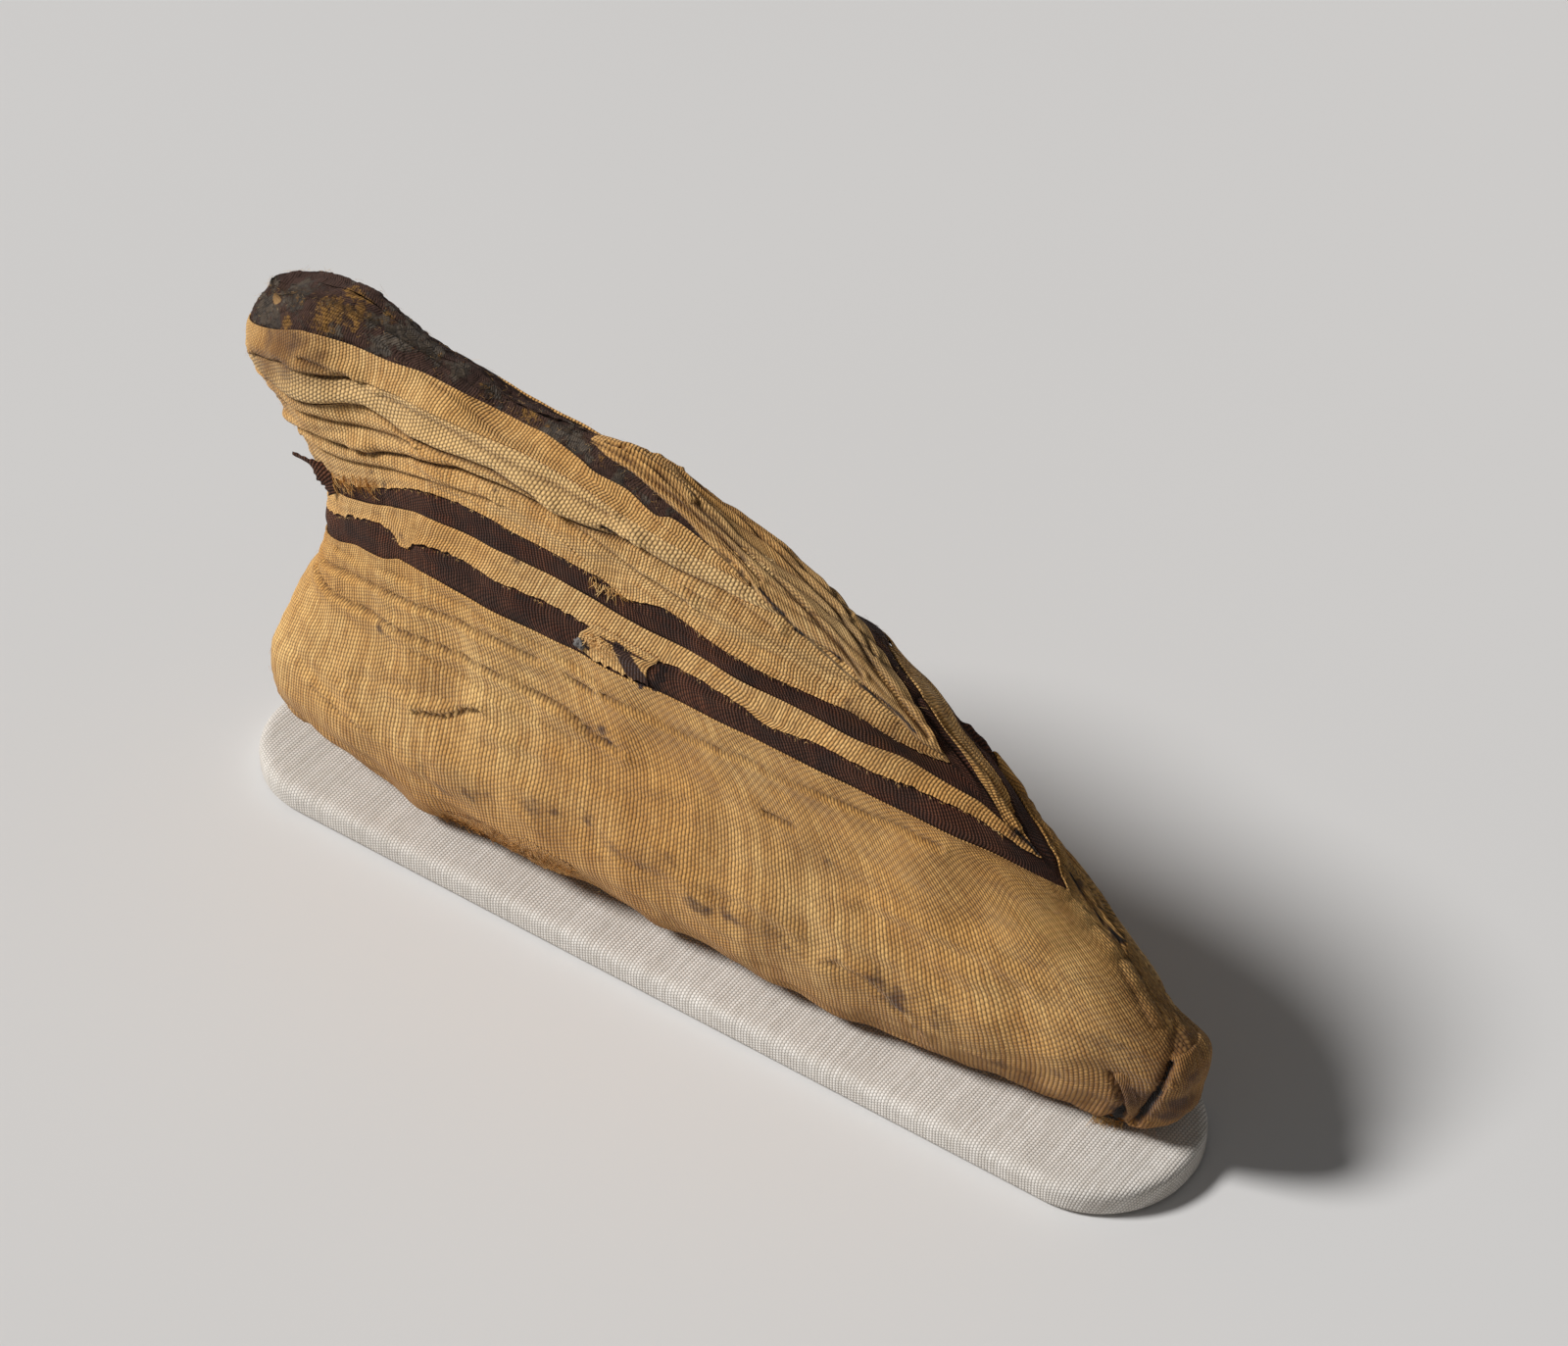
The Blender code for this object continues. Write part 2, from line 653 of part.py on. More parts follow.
def cut(piece, shape):
    """Takes a cutter's shape out of a piece."""
    cutter = add_shape("cutter", shape, BONE)
    cutter.hide_render = True
    cutter.display_type = "WIRE"
    modifier = piece.modifiers.new("cut", "BOOLEAN")
    modifier.operation = "DIFFERENCE"
    modifier.solver = "MANIFOLD"
    modifier.object = cutter
    bpy.context.view_layer.objects.active = piece
    bpy.ops.object.modifier_apply(modifier=modifier.name)
    bpy.data.objects.remove(cutter, do_unlink=True)


def make_bird():
    for number, (name, build, finish) in enumerate(BIRD):
        piece = add_shape(name, build(0), finish)
        for _, earlier, _ in BIRD[:number]:
            cut(piece, earlier(CLEARANCE))


def make_packing_half(name, columns, side):
    """Half of the linen packing, split on the middle plane, with the bird's hollow cut out."""
    levels = range(LAST_LEVEL + 1)
    rows = [wrap_row(level, PACKING_DEPTH, columns) for level in levels]
    plane = MUMMY_AXIS_Y + side * CLEARANCE / 2
    count = len(columns)
    points = []
    for row in rows:
        for number, (x, y, z) in enumerate(row):
            on_plane = number in (0, count - 1)
            points.append((x, plane if on_plane else y, z))
    faces = []
    for row in range(len(rows) - 1):
        for column in range(count - 1):
            a = row * count + column
            b, c, d = a + 1, a + count + 1, a + count
            faces += [(a, b, c), (a, c, d)]
    front_edge = [row * count for row in range(len(rows))]
    back_edge = [row * count + count - 1 for row in range(len(rows))]
    middle_lines = []
    for first in (0, (len(rows) - 1) * count):
        line = [first]
        for column in range(1, count - 1):
            x, _, z = points[first + column]
            line.append(len(points))
            points.append((x, plane, z))
        line.append(first + count - 1)
        middle_lines.append(line)
        for column in range(count - 1):
            a, b = first + column, first + column + 1
            c, d = line[column + 1], line[column]
            corners = distinct([a, b, c, d])
            faces.append(tuple(corners if first else corners[::-1]))
    bottom_line, top_line = middle_lines
    faces.append(tuple(front_edge + top_line[1:-1] + back_edge[::-1] + bottom_line[-2:0:-1]))
    half = add_object(name, points, faces, INNER_LINEN)
    for _, build, _ in BIRD:
        cut(half, build(CLEARANCE))
    return half


def make_packing():
    middle = COLUMNS // 2
    make_packing_half("near_packing", list(range(middle + 1)), -1)
    make_packing_half("far_packing", list(range(middle, COLUMNS)) + [0], 1)


make_board()
make_wrappings()
make_small_outside_pieces()
make_bird()
make_packing()
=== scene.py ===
# %% [markdown]
# # Egyptian animal mummy on its display board
#
# A bird of prey was wound in linen about two thousand years ago: wadding first, then wide bandages, and
# last the strips that show. Dark strips alternate with tan ones and meet in a V at the back of the neck.
# The head was soaked in resin. A museum laid the mummy on a narrow board covered in new linen.
#
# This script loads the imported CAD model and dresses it. Every cloth here is a flat bandage, a grid of small
# squares, wound over the same surface that the CAD bands follow.

import json
import math

import bpy
import numpy as np
from mathutils import Matrix, Vector


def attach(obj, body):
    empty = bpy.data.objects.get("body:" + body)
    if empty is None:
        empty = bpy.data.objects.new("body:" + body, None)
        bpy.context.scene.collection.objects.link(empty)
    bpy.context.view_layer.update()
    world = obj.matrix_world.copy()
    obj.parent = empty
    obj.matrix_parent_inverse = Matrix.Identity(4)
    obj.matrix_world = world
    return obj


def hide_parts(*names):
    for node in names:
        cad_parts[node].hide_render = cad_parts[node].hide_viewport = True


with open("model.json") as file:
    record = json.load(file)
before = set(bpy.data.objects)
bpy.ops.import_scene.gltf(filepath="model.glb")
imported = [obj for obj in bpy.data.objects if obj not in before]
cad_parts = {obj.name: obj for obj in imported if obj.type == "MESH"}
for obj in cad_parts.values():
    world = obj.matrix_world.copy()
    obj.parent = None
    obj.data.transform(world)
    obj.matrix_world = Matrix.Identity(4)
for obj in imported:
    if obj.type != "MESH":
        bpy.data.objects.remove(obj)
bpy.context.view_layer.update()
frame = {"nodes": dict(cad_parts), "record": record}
print("CAD nodes:", len(frame["nodes"]))

# %% [markdown]
# ## The camera
#
# The photograph was taken from 42 degrees above the table with a long lens. The camera comes first because
# many features below, such as an edge or a crease, are given by their pixels in the photograph, and the
# same camera finds the place on the cloth that each pixel shows.

# %% Camera
PHOTO_SIZE = (1600, 1373)
CAMERA_PLACE = np.array((0.69339, -0.90075, 1.14421))
CAMERA_TARGET = np.array((-0.05955, 0.12295, 0.0))
CAMERA_ROLL = math.radians(-0.6834)
SENSOR_WIDTH = 36.0
LENS = 109.05

back = CAMERA_PLACE - CAMERA_TARGET
back /= np.linalg.norm(back)
level_right = np.cross(-back, (0, 0, 1))
level_right /= np.linalg.norm(level_right)
level_up = np.cross(level_right, -back)
camera_right = math.cos(CAMERA_ROLL) * level_right + math.sin(CAMERA_ROLL) * level_up
camera_up = math.cos(CAMERA_ROLL) * level_up - math.sin(CAMERA_ROLL) * level_right

bpy.ops.object.select_all(action="DESELECT")
bpy.ops.object.camera_add()
camera = bpy.context.object
camera.name = "camera"
turn_matrix = Matrix([camera_right, camera_up, back]).transposed()
camera.matrix_world = Matrix.Translation(Vector(CAMERA_PLACE)) @ turn_matrix.to_4x4()
camera.data.sensor_width = SENSOR_WIDTH
camera.data.lens = LENS
bpy.context.scene.camera = camera


def to_pixel(points):
    """Where the photograph shows each point."""
    offset = points - CAMERA_PLACE
    scale = LENS / SENSOR_WIDTH * PHOTO_SIZE[0] / (offset @ -back)
    across = PHOTO_SIZE[0] / 2 + scale * (offset @ camera_right)
    down = PHOTO_SIZE[1] / 2 - scale * (offset @ camera_up)
    return np.stack((across, down), axis=-1)


print("camera lens", camera.data.lens)

# %% [markdown]
# ## The wrapped surface
#
# The bundle has no straight line to measure from, so its shape is a set of level lines, as on a map. Each
# level goes once round the body at one height, from the underside (0) to the top of the head (12), and a
# turn says how far round the level a point is: 0 at the front, half a circle at the back. These are the
# levels and sizes of the CAD model, so a cloth laid on them fits the solids under it.

# %% Surface
MUMMY_LENGTH = 0.382
MUMMY_HEIGHT = 0.1955
MUMMY_WIDTH = 0.066
MUMMY_HEAD_X = -0.1907
MUMMY_BOTTOM = 0.011
MUMMY_AXIS_Y = 0.005
HEAD_BULGE = 0.012
HEAD_BULGE_RADIUS = 0.028
HEAD_CENTRE = (0.073, 0.87)
FRONT_POINT = 0.68
BACK_POINT = 0.88
TAIL_TAPER = 0.18
# The far side falls away more steeply at the nape: its middle and reach in levels, its middle and reach in
# turn, and the share of the width that goes
NAPE_LEVEL = 10.5
NAPE_LEVELS = 1.8
NAPE_TURN = 4.93
NAPE_REACH = 0.42
NAPE_NARROWING = 0.4
# Past the crown the surface still rises a little, so that its two sides meet in a crest
CROWN_RISE = 0.0008
# How far apart two places are read to find a direction, and how far past the last levels it can be read
LEVEL_STEP = 0.04
TURN_STEP = 0.03
LAST_SLOPE = 0.85
NO_LIMIT = 99

# Side-view points from the front to the back in percent of length and height, then the width in percent
LEVELS = (
    ((10.7, 0), (30, 0), (49.9, 0), (69.6, 0), (89.2, 0), 12),
    ((4.9, 0), (27.9, 0), (49.9, 0), (71.9, 0), (93.9, 0), 34),
    ((0.6, 5.3), (25.3, 4.5), (49.9, 4.5), (73.5, 4.7), (97.8, 6.1), 78),
    ((0.2, 16), (24.5, 16.9), (49.9, 16.9), (74.5, 16.4), (99.4, 17.4), 100),
    ((4.5, 33.2), (26.7, 42.5), (50.8, 43.5), (72.8, 39.9), (93.5, 32.2), 95),
    ((8.1, 47.6), (25.9, 60.4), (46.1, 61.4), (67, 56.8), (85.9, 45.5), 83),
    ((8.4, 53.2), (26.4, 66.5), (45.5, 66.5), (65.4, 61.9), (83.8, 49.6), 79),
    ((8.6, 57.3), (26.7, 72.6), (45, 72.1), (63.4, 67.8), (80.1, 55.2), 74),
    ((8.4, 60.9), (26.7, 77.5), (44.2, 76), (61.3, 71.4), (76.4, 61.9), 67),
    ((4.7, 72.1), (24.6, 84.9), (41.6, 82.9), (54.7, 78.3), (69.6, 70.6), 57),
    ((1, 79.5), (19.4, 91.6), (36.4, 89.2), (50.8, 84.4), (62.5, 78.3), 44),
    ((0.5, 86.5), (14.1, 96), (28.5, 92.3), (42, 90), (53.5, 85), 27),
    ((2.6, 95.7), (11.5, 100), (26.7, 94.3), (39.5, 93.5), (48, 89.5), 11),
)
CROWN = len(LEVELS) - 1
SIDE_POINTS = np.array([level[:5] for level in LEVELS]) / 100
HALF_WIDTHS = np.array([level[5] for level in LEVELS]) / 200 * MUMMY_WIDTH


def spline(p0, p1, p2, p3, t):
    """A smooth curve between p1 and p2, at the share t of the way."""
    return p1 + 0.5 * t * (p2 - p0 + t * (2 * p0 - 5 * p1 + 4 * p2 - p3 + t * (3 * (p1 - p2) + p3 - p0)))


def unit(vectors):
    """Rows of vectors, each made one long."""
    return vectors / np.maximum(np.linalg.norm(vectors, axis=1), 1e-12)[:, None]


def smooth(values, place):
    """A smooth curve through evenly spaced values, read at many fractional places at once."""
    last = len(values) - 1
    index = np.clip(np.floor(place).astype(int), 0, last - 1)
    t = (place - index).reshape((-1,) + (1,) * (values.ndim - 1))
    ends = (2 * values[:1] - values[1:2], values, 2 * values[-1:] - values[-2:-1])
    p = np.concatenate(ends)
    return spline(p[index], p[index + 1], p[index + 2], p[index + 3], t)


def surface(places):
    """Points of the wrapped surface at (level, turn) places. Past the crown, the two sides close in."""
    level, turn = places.reshape(-1, 2).T
    beyond = np.clip(level - CROWN, 0, 1) + np.clip(-level, 0, 1)
    rise = CROWN_RISE * np.clip(level - CROWN, 0, 1)
    level = np.clip(level, 0, CROWN)
    turn = turn % (2 * math.pi)
    forward = np.cos(turn)
    rows = smooth(SIDE_POINTS, level)
    along = 2 * (1 - forward)
    index = np.clip(along.astype(int), 0, 3)
    t = (along - index)[:, None]
    padded = np.concatenate((2 * rows[:, :1] - rows[:, 1:2], rows, 2 * rows[:, -1:] - rows[:, -2:-1]), axis=1)
    each = np.arange(len(level))
    side = spline(*(padded[each, index + step] for step in range(4)), t)
    x = side[:, 0] * MUMMY_LENGTH
    z = np.maximum(side[:, 1], 0) * MUMMY_HEIGHT
    from_head = np.hypot(x - HEAD_CENTRE[0] * MUMMY_LENGTH, z - HEAD_CENTRE[1] * MUMMY_HEIGHT)
    bulge = HEAD_BULGE * np.exp(-((from_head / HEAD_BULGE_RADIUS) ** 2))
    off_level = (level - NAPE_LEVEL) / NAPE_LEVELS
    off_turn = (turn - NAPE_TURN) / NAPE_REACH
    nape = 1 - NAPE_NARROWING * np.exp(-(off_level**2) - off_turn**2)
    half = smooth(HALF_WIDTHS, level) * (1 + TAIL_TAPER * forward) * nape + bulge
    point = (FRONT_POINT * (1 + forward) + BACK_POINT * (1 - forward)) / 2
    width = half * np.abs(np.sin(turn)) ** point * np.sqrt(1 - beyond**2)
    y = MUMMY_AXIS_Y + np.where(turn <= math.pi, -width, width)
    return np.stack((MUMMY_HEAD_X + x, y, MUMMY_BOTTOM + z + rise), axis=1)


def normals(places):
    """Unit outward directions of the wrapped surface."""
    step = np.array((LEVEL_STEP, 0))
    swing = np.array((0, TURN_STEP))
    places = np.clip(places, (-LAST_SLOPE, -NO_LIMIT), (CROWN + LAST_SLOPE, NO_LIMIT))
    up = surface(places + step) - surface(places - step)
    on = surface(places + swing) - surface(places - swing)
    return unit(np.cross(on, up))


all_round = np.linspace(0, 2 * math.pi, 37)
span = surface(np.array([(level, turn) for level in range(CROWN + 1) for turn in all_round], dtype=float))
print("surface box", span.min(axis=0).round(4), span.max(axis=0).round(4))

# %% [markdown]
# ## From the photograph to the cloth
#
# A pixel of the photograph looks at one place on the wrapping. A fine net of places is projected through
# the camera, the nearest one that faces the camera is taken, and a few Newton steps bring it right under
# the pixel.

# %% Pixels
# The net over the side that the camera sees, and the least slope towards the camera that a place in it has
NET_LEVELS = np.linspace(0.3, 12.8, 251)
NET_TURNS = np.linspace(-0.6, 4.0, 461)
LEAST_SLOPE = 0.02
# How a place is brought under its pixel: steps, the probe's size, steadiness and the longest move
NEWTON_STEPS = 4
PROBE = 0.01
STEADINESS = 50
LONGEST_MOVE = 0.05

net_level, net_turn = np.meshgrid(NET_LEVELS, NET_TURNS, indexing="ij")
net = np.stack((net_level.ravel(), net_turn.ravel()), axis=1)
net_points = surface(net)
net = net[np.einsum("ij,ij->i", normals(net), CAMERA_PLACE - net_points) > LEAST_SLOPE]
net_pixels = to_pixel(surface(net))


def places_of(pixels):
    """(level, turn) places on the cloth under pixels of the photograph."""
    found = []
    for pixel in np.array(pixels, dtype=float):
        place = net[np.argmin(((net_pixels - pixel) ** 2).sum(axis=1))].copy()
        for _ in range(NEWTON_STEPS):
            around = np.array((place, place + (PROBE, 0), place + (0, PROBE)))
            seen = to_pixel(surface(around))
            slopes = ((seen[1:] - seen[0]) / PROBE).T
            miss = pixel - seen[0]
            move = np.linalg.solve(slopes.T @ slopes + STEADINESS * np.eye(2), slopes.T @ miss)
            place += np.clip(move, -LONGEST_MOVE, LONGEST_MOVE)
        found.append(place)
    return np.array(found)


def points_of(pixels):
    """The points in space that pixels of the photograph show on the wrapped surface."""
    return surface(places_of(pixels))


def spots_of(rows):
    """Rows of a pixel's two numbers and some sizes, with the pixel's point in space in its place."""
    return [(points_of([(x, y)])[0], *sizes) for x, y, *sizes in rows]


def lines_of(rows):
    """Rows of a line of pixels and some sizes, with the line's points in space in its place."""
    return [(points_of(pixels), *sizes) for pixels, *sizes in rows]


places_seen = places_of([(700, 800), (1150, 1000), (330, 300)])
print("places under three pixels", places_seen.round(2).tolist())

# %% [markdown]
# ## Where one cloth ends and the next begins
#
# Seven lines part the bands. Each one rises from the front along the near side to a corner beside the
# ridge, turns back there over the ridge, and comes home down the far side. The near arm and the start of
# the far arm are read from the photograph, and the far side, which it doesn't show, repeats the CAD model's
# level.

# %% Edges
# The way home from the ridge down the far side: turn in half circles, and the share of the climb that is left
HOME = ((1.2, 0.95), (1.34, 0.5), (1.5, 0.08), (1.78, 0.0))
LAST_VISIBLE_TURN = 3.75
# A near arm that is first seen past this turn starts level at the front. Places nearer to the front than the
# second turn are left out.
SEEN_FROM = 0.15
TOO_NEAR = 0.02
PLACES_PER_CONTROL = 60

# Each edge: the near arm's pixels, corner last; the far arm's pixels from the corner to the ridge; the CAD
# level on the far side; and (level, turn) places of the far arm that another cloth hides
EDGES = {
    "lower_dark_low": (
        ((341, 550), (358, 556), (375, 563), (392, 570), (405, 571), (412, 575), (429, 584), (456, 598),
         (495, 619), (546, 645), (584, 664), (640, 691), (700, 720), (780, 759), (841, 789), (911, 824),
         (974, 853), (1022, 875), (1092, 908)),
        ((1080, 878), (1067, 855), (1054, 833), (1039, 811), (1026, 791), (1012, 771), (999, 752),
         (988, 736)), 5, ()),
    "lower_dark_high": (
        ((342, 526), (360, 528), (378, 533), (392, 539), (400, 547), (408, 560), (416, 561), (424, 556),
         (438, 559), (452, 564), (475, 576), (495, 587), (546, 611), (602, 640), (670, 676),
         (697, 685), (752, 717), (780, 739), (828, 757), (882, 783), (950, 813), (998, 836), (1064, 877)),
        ((1052, 860), (1040, 838), (1029, 812), (1020, 795), (1010, 779), (998, 760), (986, 744),
         (976, 728)), 6, ()),
    "upper_dark_low": (
        ((342, 502), (383, 515), (419, 522), (457, 538), (495, 556), (533, 574), (572, 594), (610, 615),
         (665, 646), (707, 668), (752, 692), (800, 718), (840, 738), (880, 757), (920, 772), (960, 796),
         (1000, 818), (1028, 842)),
        ((1015, 818), (1000, 795), (985, 772), (970, 752), (955, 732), (942, 712), (930, 695), (917, 678),
         (905, 662), (890, 645), (876, 628), (866, 615)), 7, ()),
    "upper_dark_high": (
        ((340, 488), (383, 498), (429, 500), (459, 510), (495, 526), (526, 544), (572, 568), (618, 594),
         (638, 611), (675, 620), (707, 641), (752, 671), (798, 696), (865, 725), (916, 756), (971, 779)),
        ((962, 765), (950, 748), (938, 732), (928, 716), (917, 700), (905, 685), (893, 668), (880, 650),
         (868, 632), (858, 617), (850, 606)), 8, ()),
    "pleats_high": (
        ((278, 391), (309, 408), (371, 416), (409, 439), (447, 458), (502, 480), (543, 504), (571, 525),
         (619, 545), (643, 553), (688, 580), (739, 603), (797, 628)),
        (), 8.9, ((10.3, 2.75), (10.6, 3.25), (10.2, 3.6))),
    "weave_high": (
        ((261, 361), (285, 370), (357, 387), (433, 415), (481, 439), (536, 463), (584, 490), (636, 525),
         (688, 556), (739, 583), (764, 598)),
        (), 9.45, ((10.75, 2.7), (11.0, 3.25), (10.6, 3.6))),
    "head_high": (
        ((257, 330), (297, 337), (322, 341), (393, 367), (437, 383), (467, 399), (501, 413), (540, 434),
         (559, 444), (592, 469), (609, 483), (642, 501), (669, 526), (688, 531), (724, 558)),
        (), 10.0, ((11.2, 2.7), (11.4, 3.25), (11.0, 3.6))),
}


def arc_lengths(points):
    """Distance along a line of points from its start."""
    return np.concatenate(([0.0], np.cumsum(np.linalg.norm(np.diff(points, axis=0), axis=1))))


def even_curve(controls, count):
    """A smooth curve through (level, turn) controls, with count places evenly spaced along the cloth."""
    controls = np.array(controls)
    dense = smooth(controls, np.linspace(0, len(controls) - 1, PLACES_PER_CONTROL * len(controls)))
    lengths = arc_lengths(surface(dense))
    spots = np.linspace(0, lengths[-1], count)
    return np.stack([np.interp(spots, lengths, dense[:, axis]) for axis in range(2)], axis=1)


def edge_arms(name):
    """The near arm and the far arm of an edge as (level, turn) controls."""
    near_pixels, far_pixels, cad_level, hidden = EDGES[name]
    near = places_of(near_pixels)
    first = near[0, 0]
    start = [(first, 0.0)] if near[0, 1] > SEEN_FROM else []
    near = near[near[:, 1] > TOO_NEAR]
    far = [near[-1]]
    if far_pixels:
        for place in places_of(far_pixels):
            if far[-1][1] < place[1] < LAST_VISIBLE_TURN:
                far.append(place)
    far += [np.array(place) for place in hidden]
    top = far[-1][0]
    home = [(cad_level + share * (top - cad_level), turn * math.pi) for turn, share in HOME]
    return np.array(start + near.tolist()), np.array(far + home + [(first, 2 * math.pi)])


arms = {name: edge_arms(name) for name in EDGES}
for name, (near, far) in arms.items():
    print(name, "corner at level %.2f, turn %.2f" % tuple(near[-1]))

# %% [markdown]
# ## Folds, ropes and ripples
#
# Old linen is never smooth. Where it was pulled round the neck it lies in creases with a soft roll beside
# them, and behind the corners of the strips it bunches into ropes. Each crease is a line of pixels with a
# depth and a width in millimetres. A point of the cloth sinks by how near it is to the line, and rises a
# little beside it. The rest is ripples: a few sine waves in random directions, which give gentle unevenness
# at one size.

# %% Folds
# Each crease: pixels, depth, half width, height and half width of the roll (mm). The roll lies above the line,
# or below it where its height is negative.
CREASES = (
    (((300, 431), (322, 440), (345, 452), (371, 460)), 2.3, 0.9, 2.0, 3.2),
    (((371, 460), (415, 466), (464, 478), (495, 490), (530, 504), (560, 519)), 1.7, 0.9, 1.6, 2.6),
    (((278, 391), (309, 408), (371, 416), (409, 439), (447, 458), (502, 480), (543, 504), (571, 525),
      (619, 545), (643, 553)), 1.4, 0.9, 1.9, 2.8),
    (((643, 553), (688, 580), (739, 603), (790, 640)), 0.9, 0.7, 1.3, 2.2),
    (((261, 361), (285, 370), (328, 384), (357, 387)), 1.7, 0.8, 1.2, 2.4),
    (((310, 366), (330, 374), (354, 386)), 1.2, 0.8, 0.6, 1.8),
    (((290, 408), (325, 424), (370, 438), (420, 452)), 1.2, 0.9, 1.2, 2.4),
    (((312, 446), (345, 466), (390, 478), (440, 490), (500, 512)), 1.0, 0.8, 1.0, 2.2),
    (((390, 405), (440, 428), (500, 462), (560, 492), (620, 525)), 0.8, 0.8, 0.9, 2.4),
    (((560, 519), (600, 545), (650, 585), (700, 615)), 0.9, 0.8, 0.9, 2.2),
    (((331, 572), (345, 580), (377, 595), (420, 615), (470, 635), (505, 652), (545, 673)),
     1.3, 0.8, -0.9, 2.4),
    (((324, 582), (335, 602), (370, 622), (420, 647), (470, 670), (520, 692), (550, 710), (580, 727),
      (602, 747), (632, 766)), 1.4, 0.8, -0.9, 2.6),
    (((617, 708), (650, 725), (700, 750), (757, 772), (792, 790), (837, 810), (876, 827), (924, 847),
      (961, 863)), 1.0, 0.7, -0.6, 2.0),
    (((577, 690), (590, 699), (609, 709)), 1.8, 0.7, 0.0, 1.0),
    (((345, 560), (400, 584), (480, 620), (560, 664), (610, 694)), 0.6, 0.8, -0.5, 2.0),
    (((420, 663), (470, 690), (530, 722), (585, 756)), 0.5, 1.0, -0.5, 2.4),
    (((778, 828), (797, 838), (815, 844)), 1.2, 0.5, 0.0, 1.0),
    (((616, 536), (630, 545), (641, 552)), 1.6, 0.6, 0.3, 1.2),
    (((425, 725), (436, 729), (451, 731), (465, 729), (475, 725), (488, 724)), 1.8, 0.8, 1.1, 2.0),
    (((1194, 1086), (1190, 1097), (1182, 1112), (1174, 1123), (1168, 1132), (1157, 1141)), 2.8, 1.0, 0.8, 3.0),
    (((1199, 1046), (1199, 1062), (1196, 1083)), 1.1, 1.6, 0.6, 3.5),
    (((1132, 1098), (1140, 1108), (1146, 1120), (1147, 1134), (1143, 1144)), 2.0, 1.0, 0.0, 2.0),
    (((1112, 1146), (1128, 1140), (1142, 1132)), 2.0, 2.2, 0.6, 3.0),
    (((316, 700), (340, 722), (372, 744)), 0.7, 0.8, 0.5, 2.0),
    (((287, 712), (293, 718), (300, 724), (306, 732)), 1.6, 0.9, 0.8, 1.6),
    (((500, 760), (560, 782), (640, 812), (700, 822)), 0.5, 2.2, 0.5, 4.0),
    (((640, 880), (700, 905), (760, 925), (800, 950)), 0.7, 2.4, 0.6, 4.0),
    (((880, 930), (940, 950), (1000, 985), (1040, 1010)), 0.6, 2.4, 0.6, 4.0),
    (((360, 690), (420, 700), (500, 735), (560, 770)), 0.5, 1.8, 0.4, 3.5),
    (((850, 985), (880, 1000), (920, 1035), (935, 1050)), 1.0, 1.6, 0.8, 3.0),
    (((345, 600), (400, 640), (455, 668)), 0.4, 1.0, 0.3, 2.0),
    (((700, 600), (760, 640), (820, 672), (880, 700)), 0.6, 0.7, 0.5, 2.0),
    (((660, 590), (720, 630), (790, 668), (860, 705)), 0.5, 0.6, 0.4, 1.8),
)
# Openings so deep that they look black, which is painted on the cloth as black shade: pixels, half width (mm)
DARK_GAPS = (
    (((1196, 1084), (1190, 1098), (1183, 1109), (1177, 1118), (1168, 1130), (1158, 1141)), 0.55),
    (((1184, 1112), (1177, 1121), (1170, 1131), (1162, 1139)), 0.95),
    (((1110, 1146), (1122, 1146), (1134, 1144), (1143, 1138), (1147, 1130)), 1.2),
    (((1130, 1141), (1138, 1137), (1144, 1130)), 1.5), (((775, 602), (789, 617), (801, 627)), 0.45),
    (((811, 641), (820, 648)), 0.55), (((845, 662), (858, 672)), 0.4),
    (((880, 700), (900, 714), (918, 730), (934, 748)), 0.4), (((1093, 890), (1105, 911)), 0.6),
    (((1117, 926), (1126, 941)), 0.6), (((1132, 947), (1144, 962)), 0.6),
    (((616, 536), (630, 545), (641, 552)), 0.55), (((305, 434), (330, 444), (352, 453)), 0.5),
    (((292, 714), (298, 722), (304, 730)), 0.5), (((1036, 846), (1048, 858), (1060, 872)), 0.5),
)
# Round swellings, and hollows where the height is negative: pixel, height, radius (mm)
SWELLS = (
    (1224, 1064, 3.4, 8.0), (1203, 1020, -1.6, 5.0), (1225, 1112, -3.0, 6.0), (1210, 1128, -1.2, 5.0),
    (1140, 1118, 1.0, 5.0), (930, 1010, 1.0, 8.0), (840, 975, -0.7, 7.0), (700, 905, 0.8, 8.0),
    (560, 850, -0.6, 7.0), (272, 302, -3.0, 8.0), (300, 284, -1.4, 8.0), (388, 300, 1.4, 8.0),
    (415, 323, 0.8, 6.0), (515, 398, -2.6, 8.0), (550, 418, -2.9, 9.0), (590, 438, -2.3, 9.0),
    (705, 490, 1.5, 10.0), (895, 650, 2.6, 9.0),
)
# Ropes that stand proud, with a narrow sunk gap beside each that gets painted shade: pixels, height, half
# width (mm)
ROPES = (
    (((985, 735), (1015, 770), (1036, 800), (1060, 836), (1087, 878), (1108, 896), (1126, 929)), 1.1, 1.0),
    (((995, 735), (1021, 767), (1048, 803), (1078, 842), (1105, 884), (1123, 911), (1141, 944), (1147, 965)),
     1.2, 1.1),
    (((940, 716), (970, 752), (1000, 788), (1021, 818), (1040, 845)), 1.0, 1.1),
    (((1150, 985), (1165, 1010), (1180, 1040)), 0.6, 1.6),
)
MM = 0.001
# A line that is further off than this changes nothing on a cloth
LINE_REACH = 0.015
# The painted shade inside a deep opening, the widest crease that gets painted shade, and the depth from which
# a crease's painted shade is full
BLACK = 1.8
WIDEST_DARK = 1.5
DARK_DEPTH = 1.6
# The wrapping's general unevenness: height (mm), size (m) and seed
UNEVEN = ((0.5, 0.04, 3), (0.22, 0.014, 4))


